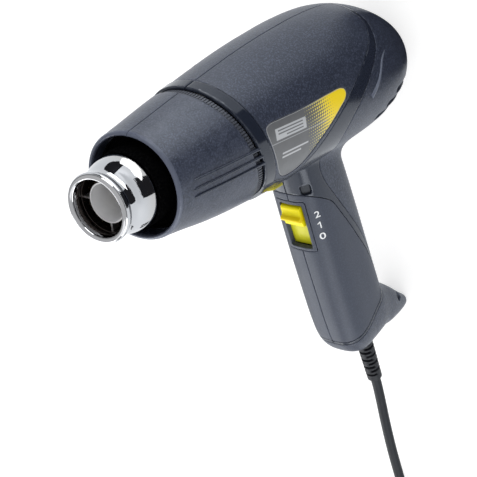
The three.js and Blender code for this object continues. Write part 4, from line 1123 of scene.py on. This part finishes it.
def barrelHalf(side):
    seam = barrel["seam"] / barrel["seamRadius"]
    extra = seam + np.array(barrel["seamSteps"])
    zone = barrel["seamZone"]
    inner = np.linspace(seam + zone, math.pi - seam - zone, barrel["columns"])
    theta = np.concatenate([extra, inner, math.pi - extra[::-1]])
    flat = np.ones(len(theta))
    fall = flat * 0
    for k, drop in enumerate(barrel["seamFall"]):
        fall[[k, -1 - k]] = drop
    cx, hx, _ = lookUp(bodyTable, np.full(1, ringPlanes["grooveFront"]))

    def footAt(inset):
        level = ringPlanes["slant"] * (cx + (hx - inset) * np.cos(theta))
        return ringPlanes["grooveFront"] + barrel["footGap"] + level

    rows = [(footAt(inset) + ahead, inset + fall) for inset, ahead in barrel["foot"]]
    start, top = rows[-1][0], barrel["rimFrom"]
    rows += [(start * (1 - share) + top * share, fall) for share in np.linspace(0, 1, barrel["rows"])[1:]]
    rows += [(flat * z, inset + fall) for z, inset in barrel["rim"]]
    rows += [(flat * z, inset) for z, inset in barrel["inner"]]
    grid = []
    for z, inset in rows:
        x, y = barrelSection(np.minimum(z, top), theta, inset)
        grid.append(np.stack([x, side * y, z], 1))
    points, faces = ringGrid(grid, closedRows=True, closedAround=False)
    across = len(theta)
    first = list(range(0, len(points), across))
    last = [i + across - 1 for i in first]
    faces += [first, last[::-1]]
    return points, faces if side > 0 else [face[::-1] for face in faces]


def barrelRib(xFoot, xTip, side):
    # A low rounded bar on the barrel that tapers to a point at its front
    start = ringPlanes["grooveRear"] + ringPlanes["slant"] * xFoot - barrel["ribSink"]
    power, tip = form["bodyPower"], barrel["ribEnd"][-1]
    rows = []
    for z in np.append(np.linspace(start, barrel["ribStraight"], barrel["ribRows"]), barrel["ribEnd"]):
        x = xFoot + (xTip - xFoot) * (z - start) / (tip - start)
        near = min(1, (tip + 0.05 - z) / barrel["ribTaper"]) ** 0.5
        half, rise = barrel["ribHalf"] * near, barrel["ribRise"] * min(1, near * 1.2)
        cx, hx, hy = (part[0] for part in lookUp(bodyTable, np.array([z])))
        ring = []
        for u, v in barrel["ribSection"]:
            px = x + u * half
            level = hy * (1 - min(abs((px - cx) / hx), 1) ** power) ** (1 / power)
            ring.append((px, side * (level + v * rise), z))
        rows.append(ring)
    return ringGrid(rows, caps=True)


for word, side in (("Left", -1), ("Right", 1)):
    low = "housing_" + word.lower()
    solid("barrel" + word, *barrelHalf(side), "barrelShell", "shell_glossy", low, sharp=38)
    ribs = joined([barrelRib(foot, tip, side) for foot, tip in barrel["ribs"]])
    solid("barrelRibs" + word, *ribs, "ribSatin", "shell_glossy", low, sharp=50)
print("barrel ready")


# Turned parts at the front
turnedParts = {
    # radius and height, round each closed profile
    "nozzle": [
        (19.6, 193), (19.6, 231.8), (20.15, 232.4), (20.2, 233.5), (20.05, 235.8), (19.8, 238), (19.35, 240),
        (18.75, 242), (18.05, 244), (17.5, 245.6), (17.22, 247), (17.2, 248.4), (17.3, 249.6), (17.75, 250.5),
        (18.3, 251.2), (18.5, 252), (18.5, 253), (18.25, 253.9), (17.7, 254.55), (17, 254.9), (16.2, 254.9),
        (15.5, 254.5), (15.05, 253.7), (14.9, 252.6), (14.9, 250.5), (14.95, 249.2), (15.3, 248.3),
        (16.2, 247.2), (16.35, 245.8), (17.2, 243), (18.1, 240.4), (18.7, 238), (18.7, 193),
    ],
    "lining": [
        (14.8, 251.6), (14.72, 251.5), (14.75, 249.1), (15.1, 248.1), (15.95, 247.1), (16.1, 245.7),
        (16.95, 242.9), (17.85, 240.3), (18.45, 237.9), (18.45, 219), (18.6, 219), (18.6, 238), (18.0, 240.4),
        (17.1, 243), (16.25, 245.8), (16.1, 247.2), (15.25, 248.2), (14.88, 249.2), (14.85, 251.5),
    ],
    "liner": [
        (19.95, 206.3), (25.5, 206.3), (25.5, 218.9), (24.6, 218.9), (24.6, 216.3), (21.4, 216.3),
        (21.0, 216.6), (20.9, 217.2), (20.9, 230.6), (20.75, 231.3), (20.4, 231.55), (19.95, 231.5),
    ],
    "guideTube": [
        (10.0, 218.1), (10.85, 218.1), (10.9, 246.1), (10.75, 246.35), (10.45, 246.4), (10.15, 246.35),
        (10.0, 246.1),
    ],
    "guideRing": [
        (15.25, 243.3), (16.0, 243.3), (16.0, 247.0), (15.9, 247.1), (15.35, 247.1), (15.25, 247.0),
    ],
    # fins of the guide: inner and outer end, then height and half thickness of each section
    "finEnds": (10.6, 15.5), "finRows": ((240, 0.6), (245.1, 0.6), (245.4, 0.35)), "fins": 4,
}


def turnedPiece(name, profile, finish, slot, node, sharp=35, sides=96):
    solid(name, *turned(turnedParts[profile], sides), finish, slot, node, sharp=sharp)


def makeFins():
    foot, end = turnedParts["finEnds"]
    rows = [[(foot, -half, z), (end, -half, z), (end, half, z), (foot, half, z)]
            for z, half in turnedParts["finRows"]]
    points, faces = ringGrid(rows, caps=True)
    parts = []
    for a in circle(turnedParts["fins"]):
        turn = np.array([[math.cos(a), -math.sin(a), 0], [math.sin(a), math.cos(a), 0], [0, 0, 1]])
        parts.append((points @ turn.T, faces))
    solid("nozzleGuide", *joined(parts), "guideSteel", "steel", "nozzle_guide", sharp=35)


turnedPiece("nozzleChrome", "nozzle", "chrome", "chrome", "nozzle", 50, 128)
turnedPiece("nozzleLining", "lining", "heatedSteel", "steel", "nozzle", 50, 128)
turnedPiece("barrelSleeve", "liner", "mouthBlack", "black_plastic", "barrel_liner", 35, 128)
turnedPiece("nozzleGuideTube", "guideTube", "guideInside", "steel", "nozzle_guide")
turnedPiece("nozzleGuideRing", "guideRing", "heatedSteel", "steel", "nozzle_guide")
makeFins()
print("nozzle ready")


# Slide switch: a raised thumb block with a rounded ridge on a flat plate
switch = {
    # plate and knob along the handle and above its axis, half widths, bevels
    "plate": [(-13, 16.2), (31.8, 16.2), (31.8, 18.2), (-13, 18.2)], "plateHalf": 7.8, "plateBevel": 0.25,
    "knobFront": [(1.6, 17.8), (15.7, 17.8), (15.7, 21.0), (15.3, 21.9), (14.6, 22.35), (12.4, 22.7)],
    "knobBack": [(6.0, 22.75), (2.6, 22.6), (1.6, 21.8)], "knobHalf": 6.2, "knobBevel": 0.45,
    # middle and half sizes of the rounded ridge
    "ridge": (9.0, 22.9, 1.815, 2.6), "ridgeSteps": 9, "ridgeArc": (0.06, 0.94),
    "bevelSteps": 3, "bevelFrom": 30,
}


def prismPiece(name, shape, half, finish, bevel, sharp):
    count = len(shape)
    points = [handlePoint(s, t, y) for y in (-half, half) for s, t in shape]
    faces = [tuple(range(count)), tuple(range(2 * count - 1, count - 1, -1))]
    faces += [(i, i + count, (i + 1) % count + count, (i + 1) % count) for i in range(count)]
    piece = meshObject(name, points, faces, finishes[finish], sharp)
    recalc(piece)
    modifier = piece.modifiers.new("softEdges", "BEVEL")
    modifier.width = bevel * 0.001
    modifier.segments = switch["bevelSteps"]
    modifier.limit_method = "ANGLE"
    modifier.angle_limit = math.radians(switch["bevelFrom"])
    bake(piece)
    smoothed(piece.data, sharp)
    finished(piece, "yellow_plastic", "switch_slider", rider="slider")


def makeSlider():
    s, t, halfS, halfT = switch["ridge"]
    first, last = switch["ridgeArc"]
    turns = np.linspace(math.pi * first, math.pi * last, switch["ridgeSteps"])
    ridge = [(s + halfS * math.cos(a), t + halfT * math.sin(a)) for a in turns]
    prismPiece("sliderPlate", switch["plate"], switch["plateHalf"], "plateYellow", switch["plateBevel"], 40)
    knob = switch["knobFront"] + ridge + switch["knobBack"]
    prismPiece("sliderKnob", knob, switch["knobHalf"], "switchYellow", switch["knobBevel"], 60)


makeSlider()
print("switch ready")


# Strain relief with staggered grooves
boot = {
    "from": 106.0, "to": 160.3, "taperFrom": 124, "radius": 5.05, "end": 4.5, "sides": 72, "step": 0.25,
    "grooves": 5, "first": 127.0, "pitch": 6.2, "deep": 1.15, "wide": 1.7, "wall": 0.3,
    # share of the circle that stays uncut, and how softly each groove ends
    "bridge": 0.32, "bridgeSoft": 0.14,
    # where the rounded end begins, then distance from the end and inset of its rows
    "rimLength": 0.4, "rim": ((0.35, 0.15), (0.1, 0.45), (0, 0.9), (0, 1.3)),
}


def bootRing(s, a, r):
    return handlePoint(s, cord["bootAxis"] + r * math.cos(a), r * math.sin(a))


def bootCut(s, a):
    # Two sets of grooves, a quarter turn and half a pitch apart
    cut = 0.0
    for k in range(boot["grooves"]):
        for part, turn in ((0.0, 0.0), (boot["pitch"] / 2, math.pi / 2)):
            middle = boot["first"] + k * boot["pitch"] + part
            inside = min(1, max(0, (boot["wide"] / 2 - abs(s - middle)) / boot["wall"]))
            sector = min(1, max(0, (abs(math.sin(a + turn)) - boot["bridge"]) / boot["bridgeSoft"]))
            cut = max(cut, inside * sector)
    return boot["deep"] * cut


def makeBoot():
    around = circle(boot["sides"])
    rows = []
    for s in np.arange(boot["from"], boot["to"] - boot["rimLength"], boot["step"]):
        share = max(0, (s - boot["taperFrom"]) / (boot["to"] - boot["taperFrom"]))
        radius = boot["radius"] + (boot["end"] - boot["radius"]) * share
        rows.append([bootRing(s, a, radius - bootCut(s, a)) for a in around])
    for back, inset in boot["rim"]:
        rows.append([bootRing(boot["to"] - back, a, boot["end"] - inset) for a in around])
    solid("cordBoot", *ringGrid(rows, caps=True), "blackRubber", "black_rubber", "strain_relief", sharp=45)


makeBoot()


# Thin raised crescent on each side of the dome, in a lighter finish that paints the highlight along its edge
def sweepOn(pathPoints, radii, lift, wide, sides=12, step=0.7):
    line = settle(toolDistance, spline(pathPoints, step), 3)
    n = normalsAt(toolDistance, line)
    across = np.cross(n, unit(np.gradient(line, axis=0)))
    size = np.interp(np.linspace(0, 1, len(line)), np.linspace(0, 1, len(radii)), radii)
    return ringsAlong(line + lift * n, wide * across, n, size, sides)


crescent = {
    "path": [(11.1, -34.2, 44.2), (7.8, -36, 50.3), (2.5, -37.2, 54.3), (-2, -37.6, 57.8), (-5.7, -37.5, 62),
             (-8, -37.4, 65)],
    "radii": [0.3, 0.5, 0.6, 0.65, 0.75, 1.0, 0.95], "lift": -0.25, "wide": 1.7,
}
for word, side in (("Left", 1), ("Right", -1)):
    route = [(x, y * side, z) for x, y, z in crescent["path"]]
    shape = sweepOn(route, crescent["radii"], crescent["lift"], crescent["wide"])
    solid("domeRidge" + word, *shape, "ridgeSatin", "shell_textured", sharp=60)


# Yellow inlay under the belly: the part of the skin inside a box
inlay = {"low": (-60, -14.8, 122.5), "high": (-31, 14.8, 131.2), "lift": 2.1, "thick": 2.4, "edge": 0.8}
base["inlay"] = np.maximum(base["v"] - inlay["high"], inlay["low"] - base["v"]).max(1)
skin("bellyInlay", [("inlay", 1)], "inlayYellow", "yellow_plastic", "belly_inlay",
     gap=0.0, lift=inlay["lift"], thick=inlay["thick"], edge=inlay["edge"])


# Switch positions as raised ink
digits = {
    # name, place in the photograph in pixels and share of the width of each figure
    "figures": {
        "0": ("Zero", 322.8, 235.8, 1.3), "1": ("One", 319.8, 225.0, 1.0), "2": ("Two", 317.2, 214.3, 1.1),
    },
    "height": 4.4, "rise": 0.12, "sink": 0.3,
    "flagged": [(0.05, -1), (0.36, -1), (0.36, 1), (0.12, 1), (-0.5, 0.58), (-0.5, 0.24), (0.05, 0.6)],
}


def glyph(word):
    # Flat outline of a digit, its height between -1 and 1
    if word == "1":
        return np.array(digits["flagged"]), [tuple(range(len(digits["flagged"])))]
    text = bpy.data.curves.new("digit" + word, "FONT")
    text.body = word
    text.resolution_u = 6
    text.offset = 0.01
    shape = linked("digitText" + word, text)
    bpy.context.view_layer.update()
    flat = bpy.data.meshes.new_from_object(shape.evaluated_get(bpy.context.evaluated_depsgraph_get()))
    bpy.data.objects.remove(shape)
    points = np.array([v.co[:2] for v in flat.vertices])
    low, high = points.min(0), points.max(0)
    points = (points - (low + high) / 2) * 2 / (high[1] - low[1])
    return points, [tuple(poly.vertices) for poly in flat.polygons]


def makeDigit(word, name, px, py, wide):
    centre = onSurface(px, py)
    n = normalsAt(toolDistance, centre[None])[0]
    up = unit(-down - (-down @ n) * n)
    flat, faces = glyph(word)
    flat = flat * np.array([wide, 1.0]) * digits["height"] / 2
    place = settle(toolDistance, centre + flat[:, :1] * np.cross(up, n) + flat[:, 1:] * up, 3)
    normals = normalsAt(toolDistance, place)
    count = len(place)
    edges = [edge for face in faces for edge in zip(face, face[1:] + face[:1])]
    shell = faces + [tuple(i + count for i in face[::-1]) for face in faces]
    shell += [(b, a, a + count, b + count) for a, b in edges if (b, a) not in edges]
    points = np.vstack([place + normals * digits["rise"], place - normals * digits["sink"]])
    solid("digit" + name, points, shell, "digitInk", "label_grey")


for word, figure in digits["figures"].items():
    makeDigit(word, *figure)
print("small parts ready")


# Geometry Nodes for what repeats
def place(tree, kind, settings=None, **links):
    # Adds a node: settings go to its properties or sockets, links to its sockets
    made = tree.nodes.new(kind)
    for key, value in (settings or {}).items():
        if key in made.bl_rna.properties:
            setattr(made, key, value)
        else:
            made.inputs[key].default_value = value
    for key, source in links.items():
        tree.links.new(source, made.inputs[key.replace("_", " ")])
    return made.outputs[0] if made.outputs else None


def moved(tree, shape, **settings):
    return place(tree, "GeometryNodeTransform", settings, Geometry=shape)


def scattered(name, makeShape, sizes, finish, points, outward, along):
    # Puts one shape on every point, its Z along "outward" and its X along "along"
    mesh = bpy.data.meshes.new(name)
    mesh.from_pydata([tuple(np.asarray(p) * 0.001) for p in points], [], [])
    for key, vectors in (("outward", outward), ("along", along)):
        data = mesh.attributes.new(key, "FLOAT_VECTOR", "POINT").data
        data.foreach_set("vector", np.asarray(vectors, np.float32).ravel())
    piece = linked(name, mesh)
    tree = bpy.data.node_groups.new(name, "GeometryNodeTree")
    tree.interface.new_socket("Geometry", in_out="INPUT", socket_type="NodeSocketGeometry")
    for label in sizes:
        tree.interface.new_socket(label, in_out="INPUT", socket_type="NodeSocketFloat")
    tree.interface.new_socket("Material", in_out="INPUT", socket_type="NodeSocketMaterial")
    tree.interface.new_socket("Geometry", in_out="OUTPUT", socket_type="NodeSocketGeometry")
    given = tree.nodes.new("NodeGroupInput").outputs
    ways = [place(tree, "GeometryNodeInputNamedAttribute", {"data_type": "FLOAT_VECTOR", "Name": key})
            for key in ("outward", "along")]
    turn = place(tree, "FunctionNodeAlignRotationToVector", {"axis": "Z"}, Vector=ways[0])
    turn = place(tree, "FunctionNodeAlignRotationToVector", {"axis": "X", "pivot_axis": "Z"}, Vector=ways[1],
                 Rotation=turn)
    shape = makeShape(tree, given)
    spread = place(tree, "GeometryNodeInstanceOnPoints", Points=given[0], Instance=shape, Rotation=turn)
    real = place(tree, "GeometryNodeRealizeInstances", Geometry=spread)
    paint = place(tree, "GeometryNodeSetMaterial", Geometry=real, Material=given["Material"])
    place(tree, "NodeGroupOutput", Geometry=paint)
    modifier = piece.modifiers.new(name, "NODES")
    modifier.node_group = tree
    values = {label: size / 1000 for label, size in sizes.items()} | {"Material": finishes[finish]}
    for item in tree.interface.items_tree:
        if item.in_out == "INPUT" and item.name in values:
            modifier[item.identifier] = values[item.name]
    bake(piece)
    return piece


ribs = {"count": 128, "lift": -1.5, "sizes": {"Length": 3.3, "Width": 1.0, "Height": 0.9}}


def makeGrooveRibs():
    def bar(tree, given):
        size = place(tree, "ShaderNodeCombineXYZ", X=given["Length"], Y=given["Width"], Z=given["Height"])
        return place(tree, "GeometryNodeMeshCube", Size=size)

    theta = circle(ribs["count"])
    middle = (ringPlanes["grooveFront"] + ringPlanes["grooveRear"]) / 2
    z = np.full(len(theta), middle)
    for _ in range(4):
        x, y = barrelSection(z, theta, 0)
        z = middle + ringPlanes["slant"] * x
    p = np.stack([x, y, z], 1)
    n = normalsAt(bodyDistance, p)
    along = np.array([0, 0, 1.0]) - n[:, 2:] * n
    piece = scattered("grooveRibs", bar, ribs["sizes"], "grooveGrey", p + n * ribs["lift"], n, along)
    finished(piece, "black_rubber", "groove_ring")


screws = {
    "sizes": {"Head Radius": 2.9, "Head Height": 2.0}, "seat": 0.3, "sides": 40,
    "dome": 0.24, "domeLift": 0.9, "shank": 1.4, "shankSides": 20, "length": 18.0, "shankDrop": 0.8,
    "cross": (3.6, 0.95, 3.0), "crossLift": 1.8,
    # turn of the first cross and the step to the next, in radians
    "turn": 0.4, "turnStep": 1.7,
}


def makeScrews():
    def screw(tree, given):
        sides, radius = screws["sides"], given["Head Radius"]
        head = place(tree, "GeometryNodeMeshCylinder", {"Vertices": sides}, Radius=radius,
                     Depth=given["Head Height"])
        cap = place(tree, "GeometryNodeMeshUVSphere", {"Segments": sides, "Rings": sides // 2}, Radius=radius)
        cap = moved(tree, cap, Scale=(1, 1, screws["dome"]), Translation=(0, 0, screws["domeLift"] / 1000))
        last = place(tree, "GeometryNodeMeshBoolean", {"operation": "UNION"}, Mesh_2=head)
        tree.links.new(cap, last.node.inputs["Mesh 2"])
        for turn in (0.0, math.pi / 2):
            bar = place(tree, "GeometryNodeMeshCube", {"Size": [side / 1000 for side in screws["cross"]]})
            bar = moved(tree, bar, Translation=(0, 0, screws["crossLift"] / 1000), Rotation=(0, 0, turn))
            last = place(tree, "GeometryNodeMeshBoolean", {"operation": "DIFFERENCE"}, Mesh_1=last,
                         Mesh_2=bar)
        length, radius = screws["length"] / 1000, screws["shank"] / 1000
        shank = place(tree, "GeometryNodeMeshCylinder",
                      {"Vertices": screws["shankSides"], "Depth": length, "Radius": radius})
        shank = moved(tree, shank, Translation=(0, 0, -(screws["length"] / 2 + screws["shankDrop"]) / 1000))
        whole = place(tree, "GeometryNodeJoinGeometry", Geometry=last)
        tree.links.new(shank, whole.node.inputs[0])
        return whole

    rise = screws["seat"] + screws["sizes"]["Head Height"] / 2
    turns = [screws["turn"] + i * screws["turnStep"] for i in range(len(screwPlaces))]
    piece = scattered("crossScrews", screw, screws["sizes"], "screwSteel",
                      [(x, seat + rise, z) for x, z, seat in screwPlaces], [(0, 1, 0)] * len(turns),
                      [(math.cos(turn), 0, math.sin(turn)) for turn in turns])
    finished(piece, "steel", "screw_top_front", "screw_top_rear", "screw_belly", "screw_grip_upper",
             "screw_grip_lower")


makeGrooveRibs()
makeScrews()
print("repeated parts ready")


# Parts inside, carried over from the model with better finishes
inside = {
    "blackPlastic": ["intake_guard", "motor_bell", "motor_mount", "fan_shroud", "air_duct", "duct_stay",
                     "switch_block", "cord_clamp"],
    "fanPlastic": ["fan_rotor"],
    "motorMetal": ["motor_can", "magnet_left", "magnet_right"],
    "steel": ["heat_tube", "heater_base_post", "clamp_screw_left", "clamp_screw_right"],
    "mica": ["mica_tube"],
    "ceramic": ["heater_core", "heater_base"],
    "copperWire": ["heater_winding"],
    "brass": ["thermal_cutout", "switch_tab_1", "switch_tab_2", "switch_tab_3", "switch_tab_4"],
    "cordCover": ["cord_inner"],
}
for finish, nodes in inside.items():
    for node in nodes:
        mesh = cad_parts[node].data
        mesh.materials.clear()
        mesh.materials.append(finishes[finish])
print("inner parts dressed")


# Pale floor and plain soft light
stage = {
    "floor": (0.55, 0.55, 0.55), "floorReach": 6, "mirroredTint": (0.9, 0.95, 1.0),
    # glow of the floor in reflections and towards the camera, brightness of the sky low and high
    "backdropLift": 0.57, "seenLift": 0.66, "sky": 0.25, "ceiling": 0.72, "skyFrom": 0.12, "skyTo": 0.5,
    # dark cards just above the floor: middle, then reach in metres by angle in degrees
    "cardColour": (0.022, 0.022, 0.026), "cardLift": 0.001,
    "cards": [
        ((-0.04, -0.07), [
            (-97, 0.06), (-94, 0.9), (-84, 1.2), (-58, 1.3), (-36, 1.1), (-34, 0.3), (-22, 0.16), (-10, 0.12),
            (20, 0.12), (37, 0.12), (57, 0.08), (66, 0.01), (180, 0.02), (240, 0.02),
        ]),
        ((0.0, 0.0), [(5, 0.5), (3, 1.6), (22, 1.8), (44, 1.5), (40, 0.6), (22, 0.45)]),
    ],
    "lamps": [
        # name, place, aim, width, height, watts
        ("topLamp", (1.47, -0.22, 0.46), (-0.08, 0, 0.13), 1.0, 0.55, 6.9),
        ("backLamp", (-1.29, 0.95, 0.57), (-0.08, 0, 0.13), 1.3, 0.7, 9.5),
        ("handleLamp", (-1.4, -0.82, 0.52), (-0.08, 0, 0.13), 1.7, 0.7, 12.4),
        ("fillLamp", (-1.1, 0.05, 1.25), (-0.08, 0, 0.1), 1.2, 0.9, 3.0),
        ("tableLamp", (0.42, -0.13, 0.004), (0.42, -0.13, 1), 0.3, 0.56, 1.5),
    ],
}


def makeFloor():
    r = stage["floorReach"]
    corners = [(-r, -r, 0), (r, -r, 0), (r, r, 0), (-r, r, 0)]
    material, w, glow = startMaterial("paleFloor", {}, "Emission")
    # whether a ray comes from the camera, from a glossy reflection or through glass
    seen, mirrored, through = (w.node("LightPath", output=index) for index in (0, 3, 6))
    share = (mirrored + through).clamped() * stage["backdropLift"] + seen * stage["seenLift"]
    joinTo(colourBlend(w, mirrored, (1, 1, 1), stage["mirroredTint"]), glow, "Color")
    joinTo(share, glow, "Strength")
    diffuse = w.node("BsdfDiffuse", {}, {"Color": (*stage["floor"], 1)})
    both = w.node("AddShader", {}, {0: diffuse, 1: Wire(w.tree, glow.outputs[0])})
    joinTo(both, w.tree.nodes["Material Output"], 0)
    floor = meshObject("floor", np.array(corners) * 1000, [(0, 1, 2, 3)], material, None)


def makeCards():
    # They show only in reflections, like the unlit side of a studio
    paint = {"Base Color": (*stage["cardColour"], 1), "Specular IOR Level": 0.0}
    dark, w, shader = startMaterial("darkCard", paint)
    joinTo(0.9 + noise(w, objectSpace(w), 8.0) * 0.05, shader, "Roughness")
    for (x, y), reach in stage["cards"]:
        points = []
        for turn, far in reach:
            angle = math.radians(turn)
            points.append((x + far * math.cos(angle), y + far * math.sin(angle), stage["cardLift"]))
        card = meshObject("darkCard", np.array(points) * 1000, [tuple(range(len(points)))], dark, None)
        card.visible_camera = card.visible_diffuse = card.visible_shadow = card.visible_transmission = False


def makeSky():
    # White towards the camera, grey low down and paler overhead for the lighting and the reflections
    world = bpy.data.worlds.new("softSky")
    world.use_nodes = True
    sky = Wire(world.node_tree)
    height = axis(sky.node("TexCoord", output=0), 2)
    level = stage["sky"] - height.ease(stage["skyFrom"], stage["skyTo"]) * (stage["sky"] - stage["ceiling"])
    background = world.node_tree.nodes["Background"]
    background.inputs[0].default_value = (1, 1, 1, 1)
    seen = sky.node("LightPath", output=0)
    joinTo(level + seen * (1.0 - level), background, 1)
    bpy.context.scene.world = world


def makeLamps():
    for name, at, aim, width, height, power in stage["lamps"]:
        data = bpy.data.lights.new(name, "AREA")
        data.shape = "RECTANGLE"
        data.size = width
        data.size_y = height
        data.energy = power
        lamp = linked(name, data)
        lamp.location = at
        lamp.rotation_euler = (Vector(aim) - Vector(at)).to_track_quat("-Z", "Y").to_euler()
        lamp.visible_camera = False


makeFloor()
makeCards()
makeSky()
makeLamps()
bpy.context.scene.view_settings.view_transform = "Standard"
print("stage set")
